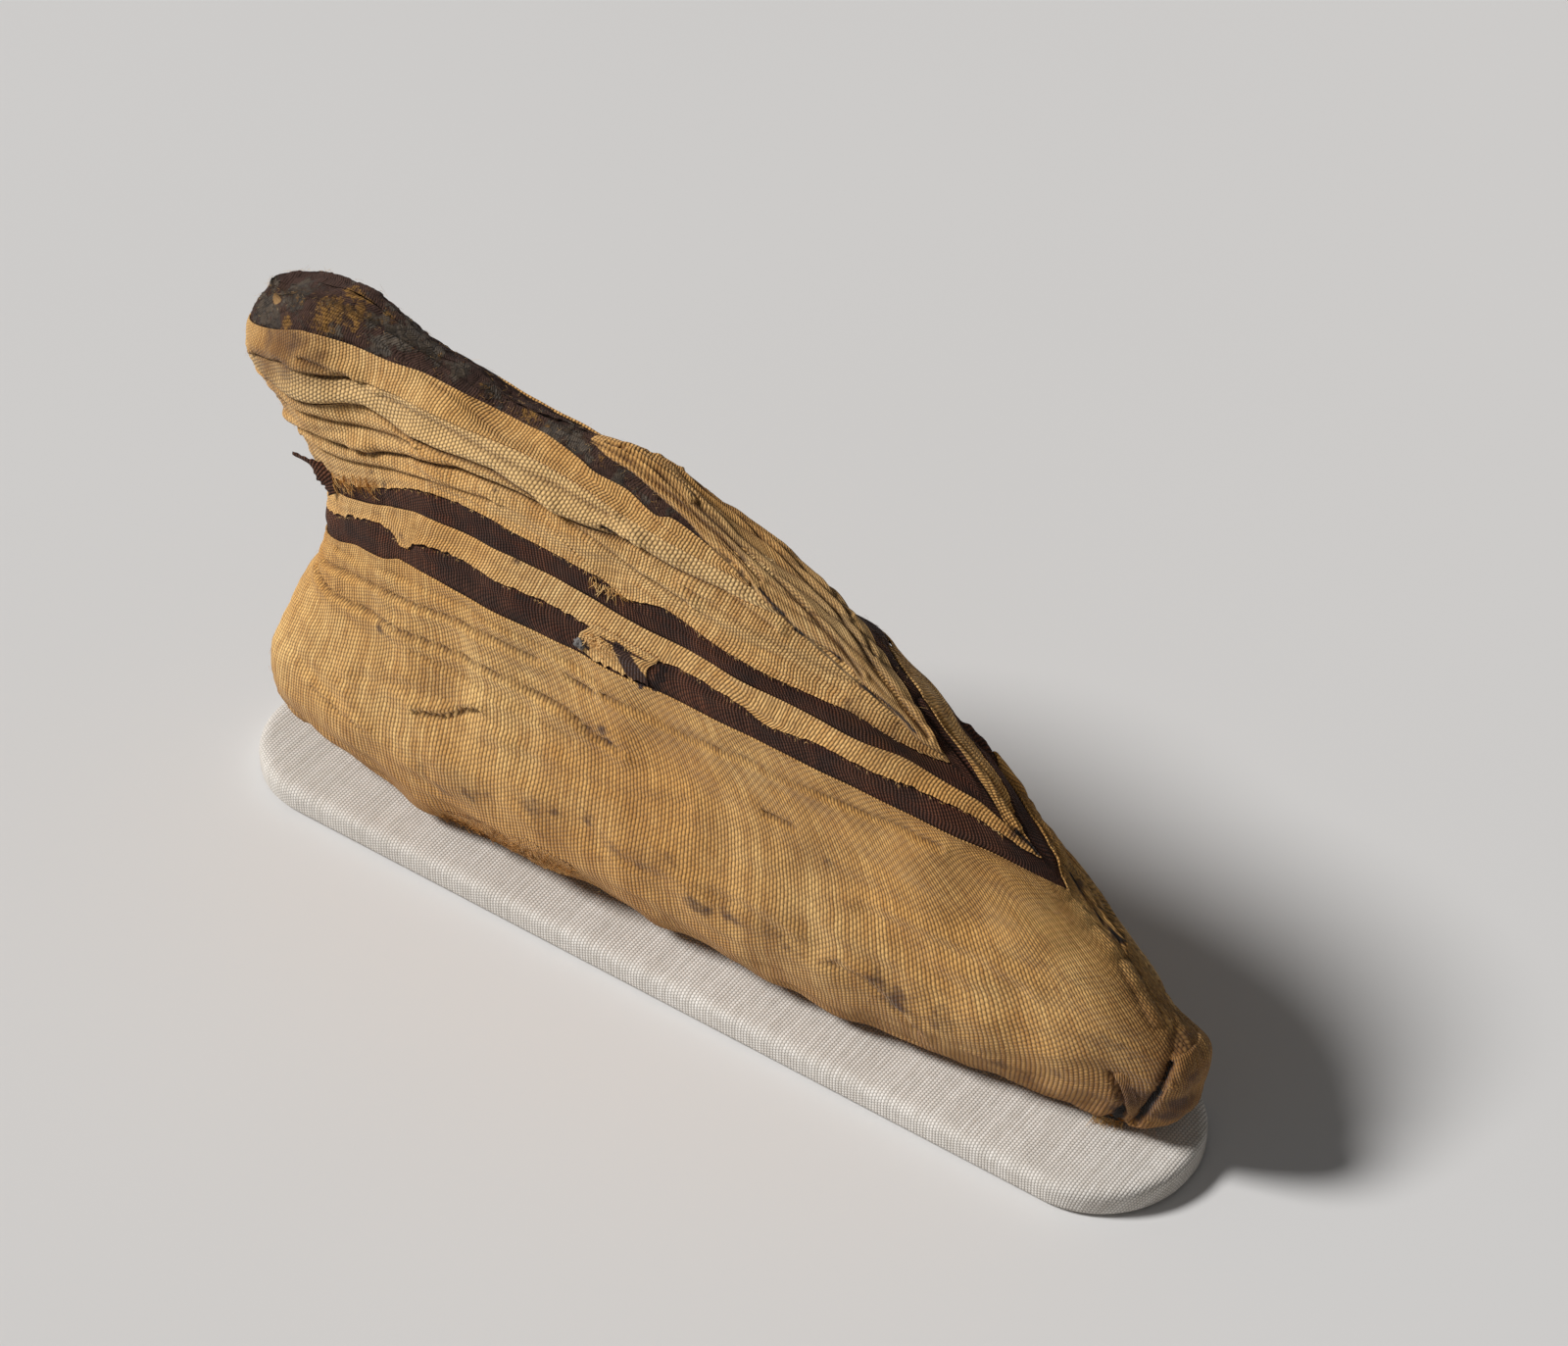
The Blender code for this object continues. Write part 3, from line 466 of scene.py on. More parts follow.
def near_line(points, outward, line):
    """Distance of each point to a line of points, and which side it is on: 1 below, -1 above."""
    best = np.full(len(points), 1e9)
    side = np.ones(len(points))
    for start, end in zip(line[:-1], line[1:]):
        run = end - start
        share = np.clip((points - start) @ run / (run @ run), 0, 1)
        away = points - start - share[:, None] * run
        distance = np.linalg.norm(away, axis=1)
        closer = distance < best
        best[closer] = distance[closer]
        below = np.einsum("ij,ij->i", np.cross(run, outward[closer]), away[closer])
        side[closer] = np.where(below > 0, 1, -1)
    return best, side


def ripples(coordinates, size, seed, waves=14):
    """Smooth unevenness between about -1 and 1 whose bumps are about size across."""
    draw = np.random.default_rng(seed)
    ways = unit(draw.normal(size=(waves, coordinates.shape[1])))
    pace = 2 * math.pi / size * draw.uniform(0.6, 1.5, waves)
    phase = draw.uniform(0, 2 * math.pi, waves)
    return np.sin(coordinates @ (ways * pace[:, None]).T + phase).sum(axis=1) / math.sqrt(waves)


swell_points = spots_of(SWELLS)
gap_lines = lines_of(DARK_GAPS)
crease_lines = lines_of(CREASES)
rope_lines = lines_of(ROPES)


def swelling(points):
    """How far the round swellings lift each point."""
    height = np.zeros(len(points))
    for centre, rise, half in swell_points:
        distance = np.linalg.norm(points - centre, axis=1)
        height += rise * MM * np.exp(-((distance / (half * MM)) ** 2))
    return height


def painted_opening_shade(points, outward):
    """How much painted black shade each point has, from 0 away from the deep openings to BLACK inside one."""
    amount = np.zeros(len(points))
    for line, half in gap_lines:
        distance, _ = near_line(points, outward, line)
        amount = np.maximum(amount, BLACK * np.exp(-((distance / (half * MM)) ** 4)))
    return amount


def relief(points, outward):
    """Height of the cloth above the wrapped surface, and its painted shade: 1 in a crease, BLACK in an
    opening.
    """
    height = sum(rise * MM * ripples(points, size, seed) for rise, size, seed in UNEVEN)
    shade = painted_opening_shade(points, outward)
    for line, depth, half, roll, roll_half in crease_lines:
        distance, side = near_line(points, outward, line)
        if distance.min() > LINE_REACH:
            continue
        valley = np.exp(-((distance / (half * MM)) ** 2))
        height -= depth * MM * valley
        # Narrow creases get painted shade in their valleys
        if half < WIDEST_DARK:
            shade = np.maximum(shade, min(depth, DARK_DEPTH) / DARK_DEPTH * valley)
        if roll:
            offset = distance * side * (1 if roll < 0 else -1) - 1.1 * roll_half * MM
            height += abs(roll) * MM * np.exp(-((offset / (roll_half * MM)) ** 2))
    height += swelling(points)
    for line, rise, half in rope_lines:
        distance, _ = near_line(points, outward, line)
        if distance.min() > LINE_REACH:
            continue
        height += rise * MM * np.exp(-((distance / (half * MM)) ** 2))
        gap = np.exp(-(((distance - 1.7 * half * MM) / (0.35 * half * MM)) ** 2))
        height -= 0.6 * MM * gap
        # Painted shade in the narrow gap beside each rope
        shade = np.maximum(shade, 0.55 * gap)
    return height, shade


# Brown stains, and painted shade in the dark slots beside the spine and the ropes, in the tail's pocket and
# over the tail: pixel, radius (mm), strength
STAINS_AND_SHADE = (
    (1204, 1126, 5.0, 0.8), (1192, 1136, 4.5, 0.8), (389, 640, 2.2, 0.9), (398, 648, 1.2, 0.8),
    (600, 745, 1.6, 0.8), (616, 744, 2.2, 0.95), (621, 757, 1.8, 0.9), (628, 765, 1.2, 0.8),
    (450, 808, 4.0, 0.5), (540, 824, 5.0, 0.5), (565, 830, 3.0, 0.5), (710, 922, 5.0, 0.6),
    (722, 930, 3.0, 0.7), (895, 1000, 5.0, 0.6), (915, 1020, 6.0, 0.7), (1020, 1085, 3.0, 0.6),
    (392, 495, 1.6, 0.7), (380, 481, 1.4, 0.6), (409, 546, 1.2, 0.6), (413, 559, 1.0, 0.7),
    (528, 572, 1.6, 0.7), (595, 545, 1.0, 0.6), (505, 500, 1.2, 0.8), (665, 745, 1.6, 0.4),
    (845, 880, 4.0, 0.35), (1160, 1120, 8.0, 0.6), (1185, 1100, 6.0, 0.4), (1010, 860, 1.0, 0.5),
    (690, 880, 6.0, 0.35), (960, 1040, 7.0, 0.45), (1090, 1010, 5.0, 0.25), (745, 571, 1.4, 0.9),
    (757, 585, 1.7, 1.0), (783, 609, 1.3, 0.9), (795, 621, 1.6, 1.0), (806, 632, 1.4, 0.9),
    (818, 643, 1.2, 0.8), (884, 700, 1.5, 0.9), (893, 708, 1.3, 0.9), (916, 738, 1.0, 0.8),
    (1036, 850, 1.6, 0.9), (1045, 856, 1.3, 0.9), (1102, 900, 2.0, 0.9), (1122, 932, 1.5, 0.9),
    (1137, 955, 1.3, 0.9), (597, 657, 1.4, 1.0), (1205, 1062, 5.0, 0.5), (1150, 1062, 9.0, 0.3),
    (1180, 1010, 6.0, 0.25), (1128, 1138, 4.5, 1.0), (1140, 1130, 3.0, 0.9), (1120, 1060, 6.0, 0.3),
    (1075, 1095, 5.0, 0.35), (302, 350, 5.0, 0.6), (322, 366, 4.5, 0.5), (272, 345, 5.0, 0.45),
    (292, 374, 4.0, 0.55), (350, 380, 3.0, 0.4), (430, 785, 4.0, 0.45), (480, 812, 4.0, 0.5),
    (620, 862, 5.0, 0.45), (660, 885, 5.0, 0.45), (745, 935, 4.0, 0.6), (785, 948, 4.0, 0.5),
    (850, 985, 5.0, 0.45), (940, 1045, 5.0, 0.45), (1050, 1100, 5.0, 0.35), (1100, 1130, 5.0, 0.4),
    (1225, 1080, 6.0, 0.4), (1215, 1105, 6.0, 0.5), (1180, 1125, 5.0, 0.5), (905, 745, 4.0, 0.35),
    (870, 722, 4.0, 0.4), (500, 815, 4.0, 0.4), (600, 838, 5.0, 0.4), (800, 960, 6.0, 0.35),
    (470, 790, 3.0, 0.35), (297, 640, 5.0, 0.3),
)
# Dark dyed scraps: pixel, radius (mm), strength
DYED = (
    (632, 660, 1.9, 1.3), (637, 667, 2.4, 1.3), (641, 675, 2.8, 1.3), (646, 682, 2.9, 1.3),
    (652, 689, 2.4, 1.3), (658, 695, 1.7, 1.3), (676, 684, 1.6, 1.2), (673, 692, 1.8, 1.2),
    (668, 700, 1.6, 1.2), (600, 662, 1.2, 0.9), (688, 648, 0.9, 0.9), (655, 700, 1.2, 0.9),
)
# Broad brown soiling, and painted shade over the tail, which faces away from the light: pixel, radius (mm),
# strength
SOIL_AND_SHADE = (
    (1150, 1110, 20.0, 0.9), (1200, 1085, 16.0, 1.05), (1175, 1045, 14.0, 0.75), (1208, 1130, 10.0, 0.95),
    (470, 800, 9.0, 0.4), (560, 840, 9.0, 0.45), (660, 880, 9.0, 0.5), (780, 950, 10.0, 0.55),
    (900, 1010, 12.0, 0.55), (1020, 1080, 12.0, 0.45), (286, 350, 11.0, 1.2), (270, 372, 9.0, 1.1),
    (282, 400, 7.0, 0.7), (318, 368, 7.0, 0.9), (905, 752, 6.0, 0.55), (872, 728, 5.0, 0.5),
    (938, 768, 6.0, 0.55), (735, 920, 5.0, 0.6), (600, 750, 8.0, 0.3), (690, 760, 8.0, 0.3),
    (450, 700, 9.0, 0.25), (820, 870, 9.0, 0.3), (380, 650, 8.0, 0.2),
)
soil_and_shade_spots = spots_of(SOIL_AND_SHADE)
stain_and_shade_spots = spots_of(STAINS_AND_SHADE)
dye_spots = spots_of(DYED)


def painted(points, spots):
    """How strongly a list of spots marks each point; it marks stains, soiling, painted shade, dye, ochre and
    grey crust.
    """
    amount = np.zeros(len(points))
    for centre, radius, strength in spots:
        distance = np.linalg.norm(points - centre, axis=1) / (radius * MM)
        amount = np.maximum(amount, strength * np.exp(-(distance**2) * 0.7))
    return amount


def add_values(mesh, name, values):
    """Writes one number per point under a name that a material can read."""
    mesh.attributes.new(name, "FLOAT", "POINT").data.foreach_set("value", values.astype(np.float32))


print("creases", len(crease_lines), "ropes", len(rope_lines))

# %% [markdown]
# ## Winding a bandage
#
# Every cloth starts as a flat grid, the way a bandage starts as a flat strip. Its columns go round the body
# and its rows go across the strip. Each grid point gets a place between the strip's two edges, and a
# height: a turned edge rolls up and back under itself, a tucked edge dives below its neighbour, and a torn
# edge lies on top. A UV map in the cloth's true lengths keeps the weave the right size everywhere,
# however the cloth is pulled.

# %% Winding
# Edge profiles: (distance beyond the edge, height) in mm, from inside the strip outwards
FOLDED = ((-2.4, 0.0), (-1.1, 0.16), (-0.4, 0.3), (0.0, 0.26), (0.2, 0.0), (0.05, -0.35), (-0.7, -0.6),
          (-3.0, -0.7))
TUCKED = ((-1.0, -0.12), (-0.2, -0.35), (0.8, -0.8), (3.2, -1.1))
TORN = ((-2.0, 0.0), (-0.8, 0.12), (0.0, 0.2))
CLOSED = ((0.0, 0.0),)
# No piece of cloth was cut narrower than this (m)
NARROWEST_CUT = 0.0101
# Where two edges meet, the cloth between them still counts as this wide (mm)
NARROWEST_ROOM = 0.4
# Unevenness along the pull is drawn out: a length counts by this share
PULL = 0.16
# A torn edge lies this share of its raggedness inside the strip's edge
TORN_BACK = 1.0
# Thread places are averaged over this many columns to each side, so that no kink shows in the weave
SMOOTHED = 16
# The steepest slope of the threads across a strip
STEEPEST = 0.96
# The columns of an arm that the weave's direction is read from
ARM_STEP = 6
# Points closer than this are one point
SAME_PLACE = 0.00003
# The size of a band's cells
BAND_STEP = 0.0011


def thread_places(points, line):
    """Distance along a line to the nearest place on it, and the distance from it, for each point."""
    nearest = np.full(len(points), np.inf)
    run = np.zeros(len(points))
    done = 0.0
    for start, stop in zip(line[:-1], line[1:]):
        way = stop - start
        length = np.linalg.norm(way)
        share = np.clip((points - start) @ way / length**2, 0, 1)
        gap = np.linalg.norm(points - start - share[:, None] * way, axis=1)
        closer = gap < nearest
        nearest[closer] = gap[closer]
        run[closer] = (done + share * length)[closer]
        done += length
    return run, nearest


def strip_rows(width, low_edge, high_edge, inner_rows, ragged_low, ragged_high):
    """Distances across the strip and heights, one row at a time, for every column."""
    room = np.minimum(1.0, width / (2 * MM * (1e-6 - low_edge[0][0] - high_edge[0][0])))
    start = -low_edge[0][0] * MM * room
    stop = width + high_edge[0][0] * MM * room
    rows = []
    for beyond, height in reversed(low_edge):
        pull = room if beyond < 0 else 1.0
        rows.append((-beyond * MM * pull - ragged_low * min(1, max(0, 1 + beyond)), height))
    for number in range(1, inner_rows):
        share = number / inner_rows
        rows.append((start + (stop - start) * share, 0.0))
    for beyond, height in high_edge:
        pull = room if beyond < 0 else 1.0
        rows.append((width + beyond * MM * pull + ragged_high * min(1, max(0, 1 + beyond)), height))
    return rows


def grid_piece(name, points, uv, shade, columns, rows):
    """A cloth sheet from ready points, row by row."""
    bpy.ops.object.select_all(action="DESELECT")
    bpy.ops.mesh.primitive_grid_add(x_subdivisions=columns - 1, y_subdivisions=rows - 1)
    piece = bpy.context.object
    piece.name = name
    mesh = piece.data
    mesh.name = name
    mesh.vertices.foreach_set("co", points.ravel())
    loop_vertices = np.zeros(len(mesh.loops), dtype=np.int32)
    mesh.loops.foreach_get("vertex_index", loop_vertices)
    mesh.uv_layers.active.data.foreach_set("uv", uv[loop_vertices].ravel())
    add_values(mesh, "shade", shade)
    bpy.ops.object.shade_smooth()
    return piece


def merge_doubles(turn_out=False):
    """Joins points of the newest piece that lie on each other, as where a ring closes."""
    bpy.ops.object.mode_set(mode="EDIT")
    bpy.ops.mesh.select_all(action="SELECT")
    bpy.ops.mesh.remove_doubles(threshold=SAME_PLACE)
    if turn_out:
        bpy.ops.mesh.normals_make_consistent(inside=False)
    bpy.ops.object.mode_set(mode="OBJECT")


def area_of(piece):
    """The area of a sheet."""
    return sum(face.area for face in piece.data.polygons)


def vertex_points(piece):
    """The points of a piece, one row each."""
    points = np.zeros(3 * len(piece.data.vertices))
    piece.data.vertices.foreach_get("co", points)
    return points.reshape(-1, 3)


def wind(name, low, high, low_edge, high_edge, row_step, lift=0.0, ragged=(0.0, 0.0), corner=None,
         square=False, extra=None):
    """A grid of cloth between two lines of (level, turn) places, given column by column.

    corner is the column where a band turns back over the ridge. A square weave keeps straight beside it.
    ragged is how far the low and the high edge are torn (mm), and extra gives more height and shade.
    """
    count = len(low)
    samples = [surface(low + (high - low) * share) for share in np.linspace(0, 1, 9)]
    width = sum(np.linalg.norm(b - a, axis=1) for a, b in zip(samples[:-1], samples[1:]))
    width = np.maximum(width, NARROWEST_ROOM * MM)
    inner_rows = max(2, int(width.max() / row_step))
    middle = surface((low + high) / 2)
    round_body = arc_lengths(middle)
    beat = np.stack((round_body, np.zeros(count)), axis=1)
    torn = []
    for number, amount in enumerate(ragged):
        tears = 0.5 * ripples(beat, 0.007, 11 + number) + 0.5 * ripples(beat, 0.0026, 21 + number)
        torn.append(amount * MM * (tears - TORN_BACK))
    rows = strip_rows(width, low_edge, high_edge, inner_rows, torn[0], torn[1])
    places = np.concatenate([low + (high - low) * (across / width)[:, None] for across, height in rows])
    across = np.concatenate([across + 0 * width for across, height in rows])
    heights = np.concatenate([np.full(count, height * MM) for across, height in rows])
    around = np.tile(round_body, len(rows))
    runs = []
    for edge in (low, high):
        run = arc_lengths(surface(edge))
        runs.append(run if corner is None else run[corner] - np.abs(run - run[corner]))
    skew = np.clip((runs[1] - runs[0]) / width, -STEEPEST, STEEPEST)
    thread_run = np.tile(runs[0], len(rows)) + np.tile(skew, len(rows)) * across
    thread_rise = np.tile(np.sqrt(1 - skew**2), len(rows)) * across
    points = surface(places)
    if square:
        bottom = surface(low)
        arms_here = (bottom[:corner + 1][::ARM_STEP], bottom[corner:][::-ARM_STEP])
        column = np.tile(np.arange(count), len(rows))
        for arm_line, chosen in zip(arms_here, (column <= corner, column > corner)):
            thread_run[chosen], thread_rise[chosen] = thread_places(points[chosen], arm_line)
            block = thread_run[chosen].reshape(len(rows), -1)
            block = np.pad(block, ((0, 0), (SMOOTHED, SMOOTHED)), mode="reflect", reflect_type="odd")
            sums = np.cumsum(np.pad(block, ((0, 0), (1, 0))), axis=1)
            thread_run[chosen] = ((sums[:, 2 * SMOOTHED + 1:] - sums[:, :-2 * SMOOTHED - 1])
                                  / (2 * SMOOTHED + 1)).ravel()
    outward = normals(places)
    rise, shade = relief(points, outward)
    pulled = np.stack((around * PULL, across), axis=1)
    rise = rise + 0.2 * MM * ripples(pulled, 0.009, 71) + 0.12 * MM * ripples(pulled, 0.0045, 72)
    if extra is not None:
        more_rise, more_shade = extra(places, points, around, across, np.tile(width, len(rows)))
        rise = rise + more_rise
        shade = np.maximum(shade, more_shade)
    points = points + outward * (heights + rise + lift * MM)[:, None]
    piece = grid_piece(name, points, np.stack((thread_run, thread_rise), axis=1), shade, count, len(rows))
    for value, spots in (("stain_and_shade", stain_and_shade_spots), ("dye", dye_spots), ("soil_and_shade", soil_and_shade_spots)):
        add_values(piece.data, value, painted(points, spots))
    if corner is not None:
        merge_doubles()
    length = float(round_body[-1])
    cut = (length, max(NARROWEST_CUT, area_of(piece) / length))
    print(name, "triangles", 2 * (count - 1) * (len(rows) - 1), "flat %.3f x %.3f m" % cut)
    return piece, cut


def ring_edges(low_name, high_name):
    """The two edges of a ring, column by column, with the corners on the same column."""
    counts = []
    for arm in range(2):
        length = max(arc_lengths(surface(arms[name][arm]))[-1] for name in (low_name, high_name))
        counts.append(int(length / BAND_STEP))
    lines = []
    for name in (low_name, high_name):
        near, far = arms[name]
        lines.append(np.concatenate((even_curve(near, counts[0]), even_curve(far, counts[1])[1:])))
    return lines + [counts[0] - 1]


# The underside's middle line and the crown's crest close the wrapping below and above
for name, level, *both_arms in (
        ("under", -1.0, (0, 0.25, 0.5, 0.75, 0.99), (0.99, 1.25, 1.5, 1.75, 2.0)),
        ("crest", 13.0, (0, 0.25, 0.5, 0.75, 0.9), (0.9, 1.1, 1.5, 1.75, 2.0))):
    arms[name] = [np.array([(level, turn * math.pi) for turn in turns]) for turns in both_arms]
print("edge profiles", len(FOLDED), len(TUCKED), len(TORN))

# %% [markdown]
# ## The wrappings
#
# The bands go on from below upwards. The wide shroud holds the body. Above it a dark strip, a tan strip and
# a second dark strip each go round the neck. Then come the pleated band, an open basket weave and the head
# band, and the resin-soaked cloth closes the top. Every turned edge lies over the cloth above it.

# %% Wrappings
# Where pleats gather, in turns: beside the ridge and at the front. The distance from pleat to pleat (m).
CORNER_TURN = 2.95
FRONT_TURN = 0.25
PLEAT_PITCH = 0.0031
SOFT_PITCH = 0.0058
WRINKLE_PITCH = 0.0042


def near_corner(places, points, around, across, width):
    """Pleats along a strip that gather towards its corner beside the ridge, with painted shade in their
    valleys.
    """
    turn = places[:, 1]
    gather = np.exp(-(((turn - CORNER_TURN) / 0.42) ** 2)) + 0.25 * np.exp(-(((turn - FRONT_TURN) / 0.5) ** 2))
    wave = np.abs(np.sin(math.pi * (across / PLEAT_PITCH) + 0.9 * ripples(points, 0.03, 31)))
    return gather * 0.7 * MM * (wave**0.6 - 0.7), 0.25 * gather * (1 - wave) ** 3


def soft_pleats(places, points, around, across, width):
    """Long shallow pleats over a whole band, deeper at both ends, with painted shade in their valleys."""
    corner_rise, corner_shade = near_corner(places, points, around, across, width)
    wave = np.abs(np.sin(math.pi * across / SOFT_PITCH + 1.3 * ripples(points, 0.05, 33)))
    strength = 0.45 + 0.3 * ripples(points, 0.06, 34)
    rise = corner_rise + strength * 0.5 * MM * (wave**0.5 - 0.7)
    return rise, np.maximum(corner_shade, 0.2 * (1 - wave) ** 4)


def shroud_folds(places, points, around, across, width):
    """The shroud sags in wide waves along its lower edge. Above the tail it has the corner pleats, with
    painted shade in their valleys.
    """
    rise, shade = near_corner(places, points, around, across, width)
    above_tail = np.clip((places[:, 0] - 2) / 2, 0, 1)
    rise, shade = rise * above_tail, shade * above_tail
    low = np.exp(-(((places[:, 0] - 1.9) / 1.1) ** 2))
    rise = rise + low * 1.0 * MM * ripples(points, 0.045, 36) + 0.3 * low * MM * ripples(points, 0.018, 37)
    return rise, shade


def resin_crust(places, points, around, across, width):
    """Patches of hardened resin with broken edges, wrinkles under them, and painted shade where the crust lies
    low.
    """
    crust = np.clip(3 * ripples(points, 0.009, 41) + 1.2 * ripples(points, 0.003, 42), -1, 1)
    wrinkle = np.abs(np.sin(math.pi * across / WRINKLE_PITCH + 2 * ripples(points, 0.02, 43))) ** 0.5
    height = 0.2 * MM * crust + 0.3 * MM * (wrinkle - 0.6) + 0.08 * MM * ripples(points, 0.0022, 44)
    return height, 0.4 * np.clip(-crust, 0, 1)


def add_band(name, node, slot, low_name, high_name, low_edge, high_edge, rests_on, **options):
    """A band between two edges that goes once round the body and takes a CAD band's place."""
    low, high, corner = ring_edges(low_name, high_name)
    piece, cut = wind(name, low, high, low_edge, high_edge, BAND_STEP, corner=corner, **options)
    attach(piece, "root")
    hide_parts(node)
    return piece


shroud = add_band("shroud_linen", "lower_shroud", "tan_linen", "under", "lower_dark_low", CLOSED, FOLDED,
                  ["near_packing", "far_packing"], extra=shroud_folds)
dark_low = add_band("lower_dark_linen", "lower_dark_strip", "dark_linen", "lower_dark_low", "lower_dark_high",
                    TUCKED, TUCKED, ["shroud_linen"], lift=-0.15)
tan_low = add_band("lower_tan_linen", "lower_tan_strip", "tan_linen", "lower_dark_high", "upper_dark_low",
                   TORN, FOLDED, ["lower_dark_linen"], ragged=(0.7, 0.0), extra=near_corner)
dark_high = add_band("upper_dark_linen", "upper_dark_strip", "dark_linen", "upper_dark_low", "upper_dark_high",
                     TUCKED, TUCKED, ["lower_tan_linen"], lift=-0.15)
pleated = add_band("pleated_linen", "pleated_band", "tan_linen", "upper_dark_high", "pleats_high",
                   TORN, FOLDED, ["upper_dark_linen"], ragged=(0.6, 0.0), square=True, extra=soft_pleats)
open_weave = add_band("open_weave_linen", "open_weave_band", "pale_linen", "pleats_high", "weave_high",
                      TUCKED, TUCKED, ["pleated_linen"], square=True, extra=near_corner)
head_cloth = add_band("head_linen", "head_band", "tan_linen", "weave_high", "head_high",
                      FOLDED, FOLDED, ["open_weave_linen"], square=True, extra=near_corner, lift=0.2)
resin_cloth = add_band("resin_linen", "resin_shroud", "resin_linen", "head_high", "crest",
                       TUCKED, CLOSED, ["near_packing", "far_packing"], extra=resin_crust, lift=-0.2)

# Narrow openwork stripes in the pleated cloth: pixels, half width in mm
OPEN_STRIPES = ((((500, 515), (560, 545), (590, 560), (631, 574), (700, 615), (760, 645), (825, 674),
                  (866, 692)), 2.4),
                (((378, 440), (450, 464), (500, 486), (560, 512), (610, 540)), 1.6))
pleated_points = vertex_points(pleated)
opened = np.zeros(len(pleated_points))
for line, half in lines_of(OPEN_STRIPES):
    away, _ = near_line(pleated_points, pleated_points * 0 + (0, 0, 1), line)
    opened = np.maximum(opened, np.exp(-((away / (half * MM)) ** 4)))
add_values(pleated.data, "open", opened)
add_values(open_weave.data, "open", np.ones(len(open_weave.data.vertices)))
# Where worn ochre fibres show on the head, and where the crust is thick and grey: pixel, radius (mm),
# strength
OCHRE = ((340, 318, 5.0, 1.0), (362, 322, 4.0, 0.9), (372, 294, 3.5, 1.0), (384, 300, 3.0, 0.9),
         (330, 330, 4.0, 0.8), (291, 328, 2.5, 1.0), (300, 305, 3.0, 0.5), (405, 318, 3.0, 0.6),
         (535, 420, 4.0, 0.9), (545, 432, 3.0, 0.9),
         (450, 360, 2.0, 0.6), (612, 468, 3.0, 0.5), (500, 395, 3.0, 0.4))
GREY = ((268, 312, 6.0, 1.0), (285, 298, 5.0, 1.0), (275, 325, 5.0, 0.9), (310, 295, 4.0, 0.6),
        (400, 318, 4.0, 0.8),
        (420, 335, 5.0, 1.0), (440, 352, 4.0, 0.9), (470, 380, 4.0, 0.9), (455, 372, 3.0, 0.8),
        (391, 352, 2.4, 1.0),
        (500, 398, 4.0, 0.7), (560, 440, 4.0, 0.9), (585, 455, 3.5, 1.0), (600, 468, 3.0, 0.8),
        (630, 490, 2.5, 0.6),
        (380, 325, 3.0, 0.7), (345, 335, 2.5, 0.4))
for value, spots in (("ochre", OCHRE), ("grey", GREY)):
    add_values(resin_cloth.data, value, painted(vertex_points(resin_cloth), spots_of(spots)))

# %% [markdown]
# ## The pleated cloth on the ridge
#
# Behind the head the far side's cloth was drawn over the ridge in long pleats that run along it, and its
# edge lies beside the near bands' corners. It is a separate sheet: one edge follows the photograph from the
# dark wedge to the upper strip's corner, and the other lies out of sight down the far side.

# %% Ridge cloth
RIDGE_EDGE = ((590, 443), (615, 463), (647, 484), (674, 508), (702, 533), (724, 557), (747, 574), (774, 609),
              (799, 629), (820, 648), (861, 675), (880, 698), (900, 717), (924, 744), (946, 762), (962, 770))
RIDGE_END = ((957, 764), (901, 686), (846, 606))
# The map of the wrapping's heights seen from above: cell size, corner, cells, and its levels and turns
CELL = 0.0005
MAP_CORNER = np.array((-0.2, -0.04))
MAP_CELLS = (820, 180)
MAP_LEVELS = np.linspace(5, 13, 900)
MAP_TURNS = np.linspace(0, 2 * math.pi, 1800)
# The far edge: its distance behind the middle plane, where it starts beside the near edge, and the share of
# its length along which it is drawn in at its start
RIDGE_FAR_Y = 0.0185
RIDGE_START_X = 0.004
RIDGE_DRAWN_IN = 0.002
RIDGE_DRAWN_SHARE = 0.3
SLOPE_STEP = 0.001
RIDGE_LIFT = 1.2 * MM
RIDGE_COLUMNS = 300
RIDGE_ROWS = 60
# Where the shallow valleys lie, from the near edge (0) to the far edge (1)
RIDGE_VALLEYS = (0.0, 0.13, 0.21, 0.36, 0.47, 0.66, 0.82, 1.0)
# The deep valleys: pixels, depth, half width (mm)
RIDGE_CREASES = (
    (((600, 447), (640, 470), (690, 508), (735, 548), (760, 575), (775, 593)), 1.2, 0.7),
    (((620, 452), (671, 485), (719, 525), (779, 580), (829, 630), (859, 662), (880, 690)), 1.4, 0.65),
    (((640, 452), (690, 482), (745, 525), (805, 580), (850, 625), (886, 674), (916, 713), (946, 752)),
     1.6, 0.7),
    (((680, 470), (740, 510), (790, 558), (845, 612), (890, 670)), 1.2, 0.65),
    (((720, 492), (780, 540), (830, 590), (862, 630)), 1.3, 0.8),
)

level_net, turn_net = np.meshgrid(MAP_LEVELS, MAP_TURNS, indexing="ij")
above = surface(np.stack((level_net.ravel(), turn_net.ravel()), axis=1))
cells = ((above[:, :2] - MAP_CORNER) / CELL).astype(int)
height_map = np.zeros(MAP_CELLS)
np.maximum.at(height_map, (cells[:, 0], cells[:, 1]), above[:, 2])


def top_height(flat):
    """Height of the wrapping above (x, y) points."""
    spot = (flat - MAP_CORNER) / CELL - 0.5
    corner = np.floor(spot).astype(int)
    share = spot - corner
    total = 0
    for step_x in (0, 1):
        for step_y in (0, 1):
            weight = np.abs(1 - step_x - share[:, 0]) * np.abs(1 - step_y - share[:, 1])
            total = total + weight * height_map[corner[:, 0] + step_x, corner[:, 1] + step_y]
    return total


